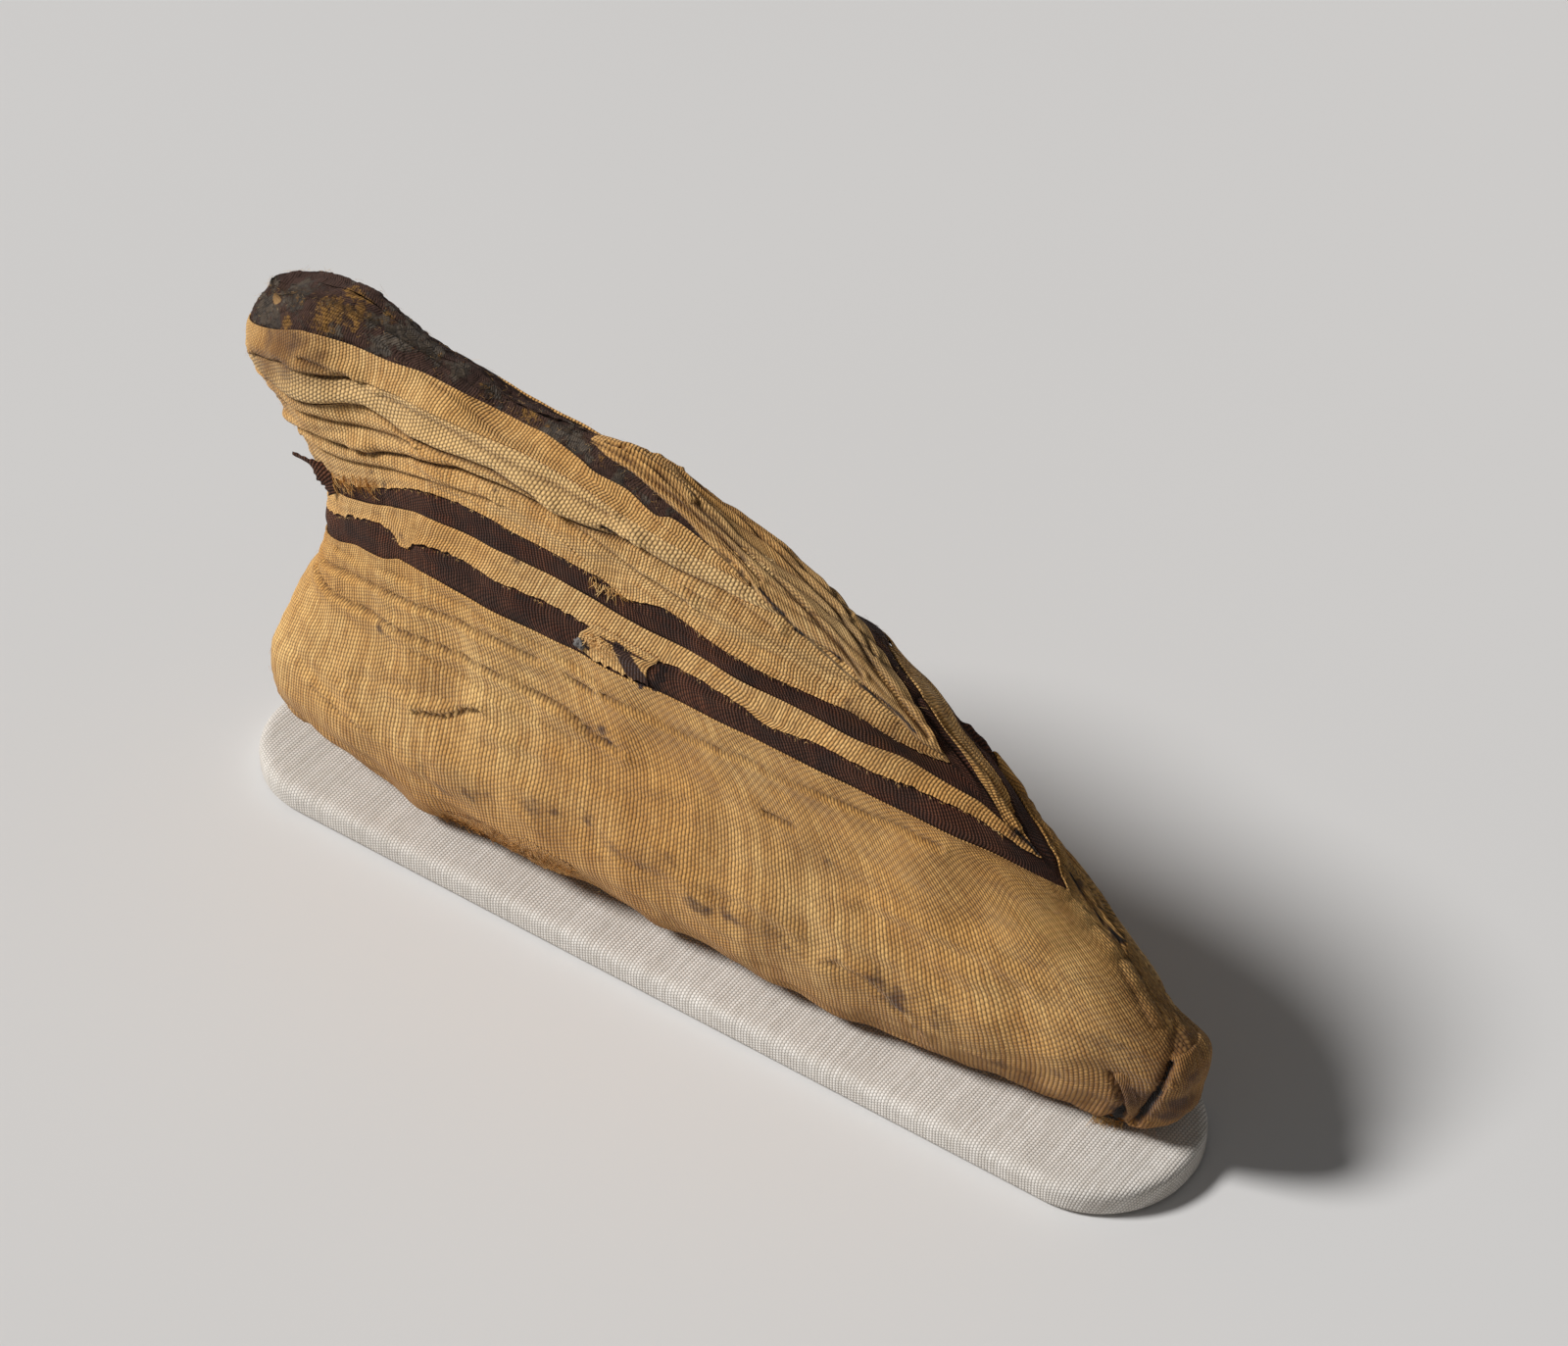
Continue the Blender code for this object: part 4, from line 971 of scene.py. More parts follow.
near_edge = surface(even_curve(places_of(RIDGE_EDGE), RIDGE_COLUMNS))
end_points = points_of(RIDGE_END)
last_far = end_points[-1, :2] + 0.5 * (end_points[-1, :2] - end_points[-2, :2])
first_far = np.array((near_edge[0, 0] + RIDGE_START_X, RIDGE_FAR_Y - RIDGE_DRAWN_IN))
along = np.linspace(0, 1, RIDGE_COLUMNS)[:, None]
far_edge = first_far + (np.array((last_far[0], RIDGE_FAR_Y)) - first_far) * along
far_edge[:, 1] -= RIDGE_DRAWN_IN * np.clip(1 - along[:, 0] / RIDGE_DRAWN_SHARE, 0, 1) ** 2
flat_rows = np.array([near_edge[:, :2] + (far_edge - near_edge[:, :2]) * share
                      for share in np.linspace(0, 1, RIDGE_ROWS)]).reshape(-1, 2)
share_across = np.repeat(np.linspace(0, 1, RIDGE_ROWS), RIDGE_COLUMNS)
share_along = np.tile(along[:, 0], RIDGE_ROWS)
ground = np.concatenate((flat_rows, top_height(flat_rows)[:, None]), axis=1)
slope_x, slope_y = ((top_height(flat_rows + shift) - top_height(flat_rows - shift)) / (2 * SLOPE_STEP)
                    for shift in np.array(((SLOPE_STEP, 0.0), (0.0, SLOPE_STEP))))
ridge_out = unit(np.stack((-slope_x, -slope_y, np.ones(len(slope_x))), axis=1))
# The pleats sway a little along the ridge, and their depth changes
sway = 0.018 * ripples(np.stack((share_along, share_across * 0.4), axis=1), 0.5, 51)
swayed = share_across + sway * np.clip(8 * share_across, 0, 1)
pleat = np.interp(swayed, RIDGE_VALLEYS, range(len(RIDGE_VALLEYS)))
wave = np.abs(np.sin(math.pi * pleat))
depth = (1.0 + 0.4 * ripples(np.stack((share_along, share_across * 2), axis=1), 0.5, 52)) * np.clip(
    share_along / 0.12, 0.25, 1)
rim = np.clip(share_across / 0.05, 0, 1)
ridge_height = RIDGE_LIFT * (0.1 + 0.9 * rim) + 1.1 * MM * depth * (wave**0.7 - 0.55) * rim
# Painted shade in the pleats' valleys, in the deep creases and in the deep openings
ridge_shade = 0.9 * (1 - wave) ** 3
for line, crease_depth, half in lines_of(RIDGE_CREASES):
    away, _ = near_line(ground, ridge_out, line)
    valley = np.exp(-((away / (half * MM)) ** 2))
    shoulder = np.exp(-(((away - 2.2 * half * MM) / (1.3 * half * MM)) ** 2))
    ridge_height += crease_depth * MM * (0.5 * shoulder - valley) * rim
    ridge_shade = np.maximum(ridge_shade, valley)
ridge_shade = np.maximum(ridge_shade, painted_opening_shade(ground, ridge_out))
ridge_height = np.maximum(ridge_height * np.clip(share_along / 0.16, 0.08, 1), -0.4 * MM)
far_rim = np.clip((1 - share_across) / 0.14, 0, 1)
ridge_height = ridge_height * far_rim - 0.9 * MM * (1 - far_rim)
ridge_points = ground + ridge_out * (ridge_height + swelling(ground))[:, None]
ridge_along = arc_lengths(ridge_points.reshape(RIDGE_ROWS, RIDGE_COLUMNS, 3)[RIDGE_ROWS // 2])
ridge_width = np.linalg.norm(np.diff(ground.reshape(RIDGE_ROWS, RIDGE_COLUMNS, 3), axis=0), axis=2)
ridge_width = np.concatenate((np.zeros((1, RIDGE_COLUMNS)), np.cumsum(ridge_width, axis=0)))
ridge_uv = np.stack((np.tile(ridge_along, RIDGE_ROWS), ridge_width.ravel()), axis=1)
ridge_cloth = grid_piece("ridge_linen", ridge_points, ridge_uv, ridge_shade, RIDGE_COLUMNS, RIDGE_ROWS)
# One pleat's weave is pulled open
open_pleat = np.exp(-(((share_across - 0.34) / 0.12) ** 4)) * np.clip((share_along - 0.25) / 0.15, 0, 1)
add_values(ridge_cloth.data, "open", open_pleat)
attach(ridge_cloth, "root")
print("ridge cloth reaches", ridge_points.min(axis=0).round(4), ridge_points.max(axis=0).round(4))

# %% [markdown]
# ## Small cloths on the outside
#
# A few scraps lie on the wrapping: the tan cloth that shows where the lower dark strip is torn, the frayed
# hem at the front of the underside, the tail's pouch with its rolled edge, and a small curled lip beside
# it. Each is a short strip wound the same way as the bands, between two lines of pixels.

# %% Scraps
# The low and the high edge of each scrap, in pixels
GAP_LOW = ((590, 666), (612, 676), (636, 689), (662, 702))
GAP_HIGH = ((605, 634), (625, 644), (650, 658), (673, 671))
HEM_LOW = ((440, 834), (466, 845), (491, 856), (512, 864), (536, 874), (561, 886), (583, 896))
HEM_HIGH = ((439, 819), (465, 830), (491, 837), (512, 842), (536, 854), (561, 868), (583, 882))
# The tail pouch's rolled edge, and how far behind it the cloth's hidden edge lies at both ends (level, turn)
POUCH_EDGE = ((1197, 1074), (1194, 1086), (1190, 1097), (1182, 1112), (1174, 1123), (1167, 1132), (1158, 1140))
POUCH_ROOT = ((0.1, 1.0), (-0.35, 1.25))
LIP_EDGE = ((1131, 1096), (1140, 1107), (1147, 1119), (1150, 1132), (1148, 1146))
LIP_ROOT = ((1140, 1092), (1152, 1103), (1160, 1115), (1163, 1128), (1158, 1141))
# A list that holds a number over this one is pixels. Levels and turns stay far below it.
LARGEST_PLACE = 20
# The lump of resin beside the torn strip: pixel, radius and height over the cloth (mm), and the share that is
# flattened away
LUMP_PIXEL = (592, 656)
LUMP_RADIUS = 2.0
LUMP_RISE = 0.4
LUMP_FLATTENED = 0.55


def scrap(name, slot, low_pixels, high_pixels, low_edge, high_edge, columns, row_step, rests_on, **options):
    """A short strip of cloth between two lines of pixels or places."""
    lines = []
    for line in (low_pixels, high_pixels):
        controls = places_of(line) if np.array(line).max() > LARGEST_PLACE else np.array(line)
        lines.append(even_curve(controls, columns))
    piece, cut = wind(name, lines[0], lines[1], low_edge, high_edge, row_step, **options)
    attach(piece, "root")
    return piece


def turn_threads(piece):
    """Turns a cloth's weave by a quarter."""
    layer = piece.data.uv_layers.active.data
    uv = np.zeros(2 * len(layer))
    layer.foreach_get("uv", uv)
    layer.foreach_set("uv", uv.reshape(-1, 2)[:, ::-1].ravel())


gap_scrap = scrap("strip_gap_linen", "tan_linen", GAP_LOW, GAP_HIGH, TORN, TORN, 60, 0.0005,
                  ["lower_dark_linen"], lift=0.2, ragged=(0.5, 0.4))
hem_scrap = scrap("front_hem_linen", "tan_linen", HEM_LOW, HEM_HIGH, TORN, TORN, 220, 0.0004, ["shroud_linen"],
                  lift=0.25, ragged=(1.3, 0.7))
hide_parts("frayed_hem")


def sunk_ends(places, points, around, across, width):
    """Lets the two short ends of a scrap dive under the cloth below it."""
    from_end = np.minimum(around, around.max() - around)
    return -1.9 * MM * np.exp(-((from_end / (1.4 * MM)) ** 2)), 0 * around


slit = places_of(POUCH_EDGE)
far_side = slit + np.linspace(*POUCH_ROOT, len(slit))
tail_pouch = scrap("tail_pouch_linen", "tan_linen", far_side[::-1].tolist(), slit[::-1].tolist(), TUCKED,
                   FOLDED, 90, 0.0007, ["shroud_linen"], lift=0.8, extra=sunk_ends)
turn_threads(tail_pouch)
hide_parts("tail_fold")
tail_lip = scrap("tail_lip_linen", "tan_linen", LIP_ROOT[::-1], LIP_EDGE[::-1], TUCKED, FOLDED, 50, 0.0005,
                 ["shroud_linen"], lift=0.7, extra=sunk_ends)

bpy.ops.object.select_all(action="DESELECT")
bpy.ops.mesh.primitive_ico_sphere_add(subdivisions=4, radius=1.0)
resin_lump = bpy.context.object
resin_lump.name = "resin_lump"
lump_place = places_of([LUMP_PIXEL])
lump_out = normals(lump_place)[0]
lump_points = vertex_points(resin_lump)
lump_shape = 1 + 0.22 * ripples(lump_points, 1.1, 61) + 0.12 * ripples(lump_points, 0.5, 62)
lump_points = lump_points * lump_shape[:, None]
lump_points = lump_points - LUMP_FLATTENED * lump_out * (lump_points @ lump_out)[:, None]
lump_points = surface(lump_place)[0] + lump_out * LUMP_RISE * MM + lump_points * LUMP_RADIUS * MM
resin_lump.data.vertices.foreach_set("co", lump_points.ravel())
bpy.ops.object.shade_smooth()
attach(resin_lump, "root")

# %% [markdown]
# ## The loose end of the dark strip
#
# The upper dark strip's free end has come away at the front of the waist and curls up into the air. It is a
# narrow ribbon swept along a line of points that lie in the plane of its root, and it twists as it rises.

# %% Loose end
LOOSE_PIXELS = ((344, 503), (338, 492), (330, 482), (321, 474), (311, 468), (299, 462))
# The ribbon's width at each of these pixels (mm)
LOOSE_WIDTHS = (6.5, 7.5, 6.5, 4.0, 2.2, 1.2)
LOOSE_SECTIONS = 40
LOOSE_ACROSS = 9
LOOSE_CLOTH = 0.5
LOOSE_WEAVE_WIDTH = 0.0045


def on_plane(pixels, y):
    """The points of a plane across the object that pixels of the photograph show."""
    found = []
    for across, down in pixels:
        scale = SENSOR_WIDTH / LENS / PHOTO_SIZE[0]
        ray = -back + camera_right * (across - PHOTO_SIZE[0] / 2) * scale
        ray = ray - camera_up * (down - PHOTO_SIZE[1] / 2) * scale
        found.append(CAMERA_PLACE + ray * (y - CAMERA_PLACE[1]) / ray[1])
    return np.array(found)


root_point = points_of(LOOSE_PIXELS[:1])[0]
spine = on_plane(LOOSE_PIXELS, root_point[1])
sections = np.linspace(0, len(spine) - 1, LOOSE_SECTIONS)
line = smooth(spine, sections)
widths = smooth(np.array(LOOSE_WIDTHS), sections) * MM
twist = np.linspace(0.5, 1.0, LOOSE_SECTIONS) + 0.25 * np.sin(sections * 2.1)
heading = unit(np.gradient(line, axis=0))
facing = np.cross(heading, back)
across_way = unit(np.cos(twist)[:, None] * facing + np.sin(twist)[:, None] * np.cross(facing, heading))
loose_rows = []
for share in np.linspace(-0.5, 0.5, LOOSE_ACROSS):
    cup = 0.12 * (4 * share * share - 1)
    ragged_edge = 1 + 0.15 * np.sin(sections * 9 + 20 * share)
    row = line + across_way * (widths * share * ragged_edge)[:, None]
    row = row + np.cross(across_way, (1, 0, 0)) * (widths * cup)[:, None]
    loose_rows.append(row)
loose_points = np.concatenate(loose_rows)
loose_uv = np.stack((np.tile(arc_lengths(line), LOOSE_ACROSS),
                     np.repeat(np.linspace(0, LOOSE_WEAVE_WIDTH, LOOSE_ACROSS), LOOSE_SECTIONS)), axis=1)
loose_end = grid_piece("loose_end_linen", loose_points, loose_uv, np.zeros(len(loose_points)), LOOSE_SECTIONS,
                       LOOSE_ACROSS)
bpy.ops.object.modifier_add(type="SOLIDIFY")
loose_end.modifiers[-1].thickness = LOOSE_CLOTH * MM
loose_end.modifiers[-1].offset = 0.0
bpy.ops.object.modifier_apply(modifier=loose_end.modifiers[-1].name)
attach(loose_end, "root")
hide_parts("loose_strip_end")
print("loose end", len(loose_end.data.polygons), "faces, reaches", loose_points.min(axis=0).round(4))

# %% [markdown]
# ## Frayed threads
#
# Torn linen ends in loose threads. Each thread here is a thin three-sided tube along a short curved line.
# It starts on an edge, leans one way with a little chance in it, and curls. The chance comes from seeded
# numbers, so each run gives the same threads.

# %% Threads
THREAD_STEPS = 6
HEADING_STEP = 0.05
PATCH_COLUMNS = 50
SCATTER = 0.004


def thread_tubes(name, roots, ways, outs, lengths, radius, curl, seed):
    """Thin tubes from root points, each along its own way and curling about its outward direction."""
    draw = np.random.default_rng(seed)
    count = len(roots)
    sides = np.cross(ways, outs)
    bend = draw.normal(0, curl, (count, 2))
    wiggle = draw.uniform(0, 2 * math.pi, count)
    steps = np.linspace(0, 1, THREAD_STEPS)
    lines = []
    for share in steps:
        swing = bend[:, 0] * share**2 + 0.12 * curl * np.sin(9 * share + wiggle) * share
        lift_now = 0.25 * share * (1.3 - share) + bend[:, 1] * 0.35 * share**2
        reach = ways * share + sides * swing[:, None] + outs * lift_now[:, None]
        lines.append(roots + lengths[:, None] * reach)
    lines = np.array(lines)
    thirds = [2 * math.pi * k / 3 for k in range(3)]
    points = []
    for number in range(THREAD_STEPS):
        thin = radius * MM * (1 - 0.45 * steps[number])
        for corner in range(3):
            ring_way = sides * math.cos(thirds[corner]) + outs * math.sin(thirds[corner])
            points.append(lines[number] + thin * ring_way)
    points = np.array(points).transpose(1, 0, 2).reshape(-1, 3)
    faces = []
    per_thread = 3 * THREAD_STEPS
    for thread in range(count):
        first = thread * per_thread
        for number in range(THREAD_STEPS - 1):
            for corner in range(3):
                a = first + 3 * number + corner
                b = first + 3 * number + (corner + 1) % 3
                faces.append((a, b, b + 3, a + 3))
        faces.append((first + 2, first + 1, first))
        last = first + per_thread - 3
        faces.append((last, last + 1, last + 2))
    mesh = bpy.data.meshes.new(name)
    mesh.from_pydata(points.tolist(), [], faces)
    piece = bpy.data.objects.new(name, mesh)
    bpy.context.collection.objects.link(piece)
    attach(piece, "root")
    print(name, count, "threads")
    return piece


def edge_threads(name, slot, places, length_range, radius, curl, seed, heading=-1.0, spread_sides=0.5,
                 lift=0.3):
    """Threads that start at places on the cloth and point down it, or up it where heading is 1."""
    draw = np.random.default_rng(seed)
    outs = normals(places)
    ways = unit(heading * (surface(places + (HEADING_STEP, 0)) - surface(places - (HEADING_STEP, 0))))
    sides = np.cross(ways, outs)
    ways = unit(ways + sides * draw.normal(0, spread_sides, len(places))[:, None])
    rise, _ = relief(surface(places), outs)
    roots = surface(places) + outs * (rise + lift * MM)[:, None]
    lengths = draw.uniform(*length_range, len(places)) * MM
    return thread_tubes(name, roots, ways, outs, lengths, radius, curl, seed + 1)


def scatter(low_pixels, high_pixels, count, seed):
    """Places spread by chance over the four-sided patch between two pixel lines."""
    draw = np.random.default_rng(seed)
    low, high = (even_curve(places_of(line), PATCH_COLUMNS) for line in (low_pixels, high_pixels))
    pick = draw.integers(0, PATCH_COLUMNS, count)
    share = draw.uniform(0, 1, count)[:, None]
    return low[pick] + (high[pick] - low[pick]) * share + draw.normal(0, SCATTER, (count, 2))


# Patches with threads: the low and the high line of pixels, how many threads, and the seed
FRAY_PATCHES = {
    "front": (((338, 488), (350, 492), (368, 494), (384, 496)),
              ((338, 480), (350, 482), (368, 484), (384, 488)), 60, 101),
    "break": (((604, 592), (618, 600), (634, 608)), ((604, 588), (618, 595), (634, 604)), 30, 103),
    "gap": (((594, 654), (604, 663), (616, 672), (628, 680)),
            ((602, 638), (612, 644), (620, 650), (627, 656)), 42, 105),
    "hem": (((440, 832), (491, 852), (536, 870), (583, 892)),
            ((439, 822), (491, 840), (536, 857), (583, 884)), 420, 120),
    "tail": (((1112, 1150), (1130, 1156), (1150, 1158)), ((1112, 1146), (1130, 1152), (1150, 1154)), 70, 122),
    "tuft": (((1116, 1146), (1128, 1151), (1144, 1154)), ((1116, 1144), (1128, 1148), (1144, 1151)), 110, 126),
}
# The dark strips' upper edges: seed of the places, columns on the edge, first and last picked, threads, spread
EDGE_SEEDS = {"lower_dark_high": 110, "upper_dark_high": 111}
EDGE_COLUMNS = 400
EDGE_PICKS = (20, 395)
EDGE_THREADS = 150
EDGE_SPREAD = 0.012
# Stray fibres stand on the shroud and the upper bands but not on the dark strips, and short hairs on the resin
STRAY_COUNT = 2600
STRAY_LEVELS = (1.0, 12.6)
STRAYS_BELOW = 4.8
STRAYS_ABOVE = 8.3
HAIR_COUNT = 500
HAIR_LEVELS = (11.2, 12.8)
HAIR_TURNS = (0.2, 2.6)
# The tail's tuft stands outward and hangs: lengths (mm), outward push, fall, and spread
TUFT_LENGTHS = (2.0, 6.5)
TUFT_OUTWARD = 1.1
TUFT_FALL = (0.0, 0.0, -0.6)
TUFT_SPREAD = 0.4
TUFT_RISE = 1.2
# Name, slot, patch, shortest and longest (mm), half thickness (mm), curl, seed, colour, and what is special
FRAYS = (
    ("front_frays", "tan_linen", "front", (3.0, 6.5), 0.17, 0.25, 102, "tan", {"spread_sides": 0.25}),
    ("break_frays", "tan_linen", "break", (2.0, 4.5), 0.15, 0.35, 104, "tan", {}),
    ("gap_frays", "tan_linen", "gap", (1.2, 3.6), 0.15, 0.5, 106, "tan", {"spread_sides": 0.9, "lift": 0.6}),
    ("lower_dark_high_frays", "tan_linen", "lower_dark_high", (0.3, 1.1), 0.11, 0.4, 112, "tan", {}),
    ("upper_dark_high_frays", "tan_linen", "upper_dark_high", (0.3, 1.1), 0.11, 0.4, 113, "tan", {}),
    ("hem_frays", "tan_linen", "hem", (0.9, 2.6), 0.11, 0.9, 121, "brown", {"spread_sides": 1.2, "lift": 0.5}),
    ("tail_frays", "tan_linen", "tail", (1.5, 4.0), 0.12, 0.8, 123, "orange", {"spread_sides": 0.9}),
)
STRAYS = (
    ("stray_fibres", "tan_linen", "stray", (0.8, 2.4), 0.035, 0.9, 131, "tan",
     {"spread_sides": 1.5, "lift": 0.4}),
    ("resin_hairs", "resin_linen", "hairs", (1.0, 3.2), 0.045, 0.7, 132, "dark",
     {"heading": 1.0, "spread_sides": 1.2}),
)

fray_places = {patch: scatter(*row) for patch, row in FRAY_PATCHES.items()}
for edge, seed in EDGE_SEEDS.items():
    draw = np.random.default_rng(seed)
    near_arm = even_curve(arms[edge][0], EDGE_COLUMNS)
    picks = np.sort(draw.integers(*EDGE_PICKS, EDGE_THREADS))
    fray_places[edge] = near_arm[picks] + draw.normal(0, EDGE_SPREAD, (EDGE_THREADS, 2))
draw = np.random.default_rng(130)
strays = (draw.uniform(*STRAY_LEVELS, STRAY_COUNT), draw.uniform(0, 2 * math.pi, STRAY_COUNT))
strays = np.stack(strays, axis=1)
fray_places["stray"] = strays[(strays[:, 0] < STRAYS_BELOW) | (strays[:, 0] > STRAYS_ABOVE)]
hairs = (draw.uniform(*HAIR_LEVELS, HAIR_COUNT), draw.uniform(*HAIR_TURNS, HAIR_COUNT))
fray_places["hairs"] = np.stack(hairs, axis=1)


def threads_of(rows):
    """The thread pieces of some rows, each with the name of its colour."""
    return [(edge_threads(name, slot, fray_places[patch], lengths, radius, curl, seed, **special), colour)
            for name, slot, patch, lengths, radius, curl, seed, colour, special in rows]


frays = threads_of(FRAYS)
draw = np.random.default_rng(127)
tuft_outs = normals(fray_places["tuft"])
tuft_ways = tuft_outs * TUFT_OUTWARD + TUFT_FALL + draw.normal(0, TUFT_SPREAD, tuft_outs.shape)
tuft_roots = surface(fray_places["tuft"]) + tuft_outs * TUFT_RISE * MM
tuft_lengths = draw.uniform(*TUFT_LENGTHS, len(tuft_outs)) * MM
tuft = thread_tubes("tail_tuft", tuft_roots, unit(tuft_ways), tuft_outs, tuft_lengths, 0.14, 0.9,
                    128)
frays.append((tuft, "tan"))
frays += threads_of(STRAYS)
print("thread pieces", len(frays))

# %% [markdown]
# ## The display board
#
# The board is a stiff core with thin padding on top. Its new linen is pulled over the edge and hemmed on
# the underside, so the edge is soft and round. The cover is one sheet: rings of points follow the board's
# outline from the hem, round the edge, to the middle line of the top.

# %% Board
BOARD_LENGTH = 0.380
BOARD_WIDTH = 0.070
BOARD_CORNER = 0.034
BOARD_COLUMNS = 640
SIDE_STEPS = 60
TOP_ROWS = 25
# (inset from the outline, height) in mm, from the hem's edge under the board to the top
BOARD_PROFILE = ((9.0, 1.45), (7.0, 1.2), (4.0, 1.1), (1.5, 1.1), (0.5, 1.25), (0.1, 1.9), (0.0, 3.0),
                 (0.0, 4.4), (0.0, 5.8), (0.02, 7.0), (0.15, 7.9), (0.45, 8.75), (0.9, 9.4), (1.5, 9.95),
                 (2.3, 10.35), (3.4, 10.6), (4.8, 10.7), (6.5, 10.7))
# The soft side: where it starts and how fast (height in m), its middle and reach up the cloth (m), and how
# far it swells (mm). The top is uneven by less, from the rim inwards.
SIDE_FROM = 0.0075
SIDE_FADE = 0.002
SIDE_MIDDLE = 0.0185
SIDE_REACH = 0.006
SIDE_SWELL = 0.28
TOP_FADE = 0.02
TOP_UNEVEN = 0.12


def board_ring(columns):
    """Points and outward directions round the board's outline, starting in the middle of the far side."""
    straight_x = BOARD_LENGTH / 2 - BOARD_CORNER
    straight_y = BOARD_WIDTH / 2 - BOARD_CORNER
    bend = 0.5 * math.pi * BOARD_CORNER
    lengths = (straight_x, bend, 2 * straight_y, bend, 2 * straight_x, bend, 2 * straight_y, bend, straight_x)
    dense = []
    directions = []
    heading = math.pi
    spot = np.array((0.0, BOARD_WIDTH / 2))
    for number, length in enumerate(lengths):
        half_turn = 0.5 * math.pi / SIDE_STEPS / 2 if number % 2 else 0.0
        for _ in range(SIDE_STEPS):
            heading += half_turn
            step = np.array((math.cos(heading), math.sin(heading))) * length / SIDE_STEPS
            dense.append(spot.copy())
            directions.append((math.sin(heading), -math.cos(heading)))
            spot = spot + step
            heading += half_turn
    dense.append(spot)
    directions.append((math.sin(heading), -math.cos(heading)))
    dense = np.array(dense)
    directions = np.array(directions)
    lengths = arc_lengths(dense)
    spots = np.linspace(0, lengths[-1], columns)
    ring = np.stack([np.interp(spots, lengths, dense[:, axis]) for axis in (0, 1)], axis=1)
    out = np.stack([np.interp(spots, lengths, directions[:, axis]) for axis in (0, 1)], axis=1)
    return ring, unit(out)


profile = [(inset * MM, height * MM) for inset, height in BOARD_PROFILE]
board_rows = []
board_across = []
travelled = 0.0
previous = None
outline, outline_out = board_ring(BOARD_COLUMNS)
for inset, height in profile:
    if previous is not None:
        travelled += math.hypot(inset - previous[0], height - previous[1])
    previous = (inset, height)
    heights = np.full((BOARD_COLUMNS, 1), height)
    board_rows.append(np.concatenate((outline - outline_out * inset, heights), axis=1))
    board_across.append(np.full(BOARD_COLUMNS, travelled))
# From the last ring the rows close in on the middle line, evenly
last_ring = board_rows[-1]
middle_line = last_ring.copy()
middle_half = BOARD_LENGTH / 2 - BOARD_CORNER
middle_line[:, 0] = np.clip(middle_line[:, 0], -middle_half, middle_half)
middle_line[:, 1] = 0.0
for share in np.linspace(0, 1, TOP_ROWS + 1)[1:]:
    row = last_ring + (middle_line - last_ring) * share
    board_rows.append(row)
    board_across.append(travelled + np.linalg.norm(row - last_ring, axis=1))
board_points = np.concatenate(board_rows)
board_v = np.concatenate(board_across)
side_band = np.clip((board_points[:, 2] - SIDE_FROM) / SIDE_FADE, 0, 1) * np.clip(
    1 - (np.abs(board_v - SIDE_MIDDLE) / SIDE_REACH), 0, 1)
board_out = np.tile(np.concatenate((outline_out, np.zeros((BOARD_COLUMNS, 1))), axis=1), (len(board_rows), 1))
swell = SIDE_SWELL * MM * ripples(board_points * (1, 1, 0), 0.03, 61) * side_band
board_points = board_points + board_out * swell[:, None]
on_top = np.clip(board_v / TOP_FADE - 0.7, 0, 1)
board_points[:, 2] += TOP_UNEVEN * MM * ripples(board_points * (1, 1, 0), 0.02, 62) * on_top
# Laid out flat: the top keeps its plan, and what goes over the edge lies outside it
flat_inset = np.concatenate([np.full(BOARD_COLUMNS, (travelled - row[0]) if number < len(profile) else 0.0)
                             for number, row in enumerate(board_across)])
flat_plan = board_points[:, :2].copy()
edge_rows = len(profile) * BOARD_COLUMNS
rim_plan = np.tile(last_ring[:, :2], (len(profile), 1)) + np.tile(outline_out, (len(profile), 1)) * (
    flat_inset[:edge_rows, None])
flat_plan[:edge_rows] = rim_plan
board_cover = grid_piece("board_cloth", board_points, flat_plan, np.zeros(len(board_points)), BOARD_COLUMNS,
                         len(board_rows))
merge_doubles(turn_out=True)
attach(board_cover, "root")
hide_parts("board_linen_cover")

# %% [markdown]
# ## Materials from nodes
#
# A woven cloth is threads that cross, so its material is made from the two thread directions of the UV map.
# One small function adds a node, sets or links its inputs, and gives back one output. Colours are written
# as web colours and turned into linear light once. Most materials here are layers: each one tints the
# colour below it by a share that a pattern gives.

# %% Node helpers
def linear(web_colour):
    """A web colour as linear light with full cover."""
    channels = [int(web_colour[place : place + 2], 16) / 255 for place in (1, 3, 5)]
    light = [c / 12.92 if c <= 0.04045 else ((c + 0.055) / 1.055) ** 2.4 for c in channels]
    return (*light, 1.0)


def add(tree, kind, *inputs, out=0, **settings):
    """Adds a node and gives one of its outputs.

    kind is the node's type, then its operation where it has one. The inputs are given in their order, or by
    their names or numbers in one dictionary.
    """
    kind, _, operation = kind.partition(" ")
    new = tree.nodes.new("ShaderNode" + kind)
    if operation:
        new.operation = operation
    for key, value in settings.items():
        setattr(new, key, value)
    named = inputs[0].items() if inputs and isinstance(inputs[0], dict) else enumerate(inputs)
    for key, value in named:
        if isinstance(value, bpy.types.NodeSocket):
            tree.links.new(value, new.inputs[key])
        else:
            new.inputs[key].default_value = value
    return new.outputs[out] if len(new.outputs) else None


def layered(tree, colour, layers):
    """Tints a colour by each layer's share, one after another. A tint is a web colour or a node's output."""
    for share, tint in layers:
        tint = tint if isinstance(tint, bpy.types.NodeSocket) else linear(tint)
        colour = add(tree, "Mix", {0: share, 6: colour, 7: tint}, out=2, data_type="RGBA")
    return colour


def new_material(name):
    """An empty node material and its tree."""
    material = bpy.data.materials.new(name)
    material.use_nodes = True
    tree = material.node_tree
    tree.nodes.clear()
    return material, tree


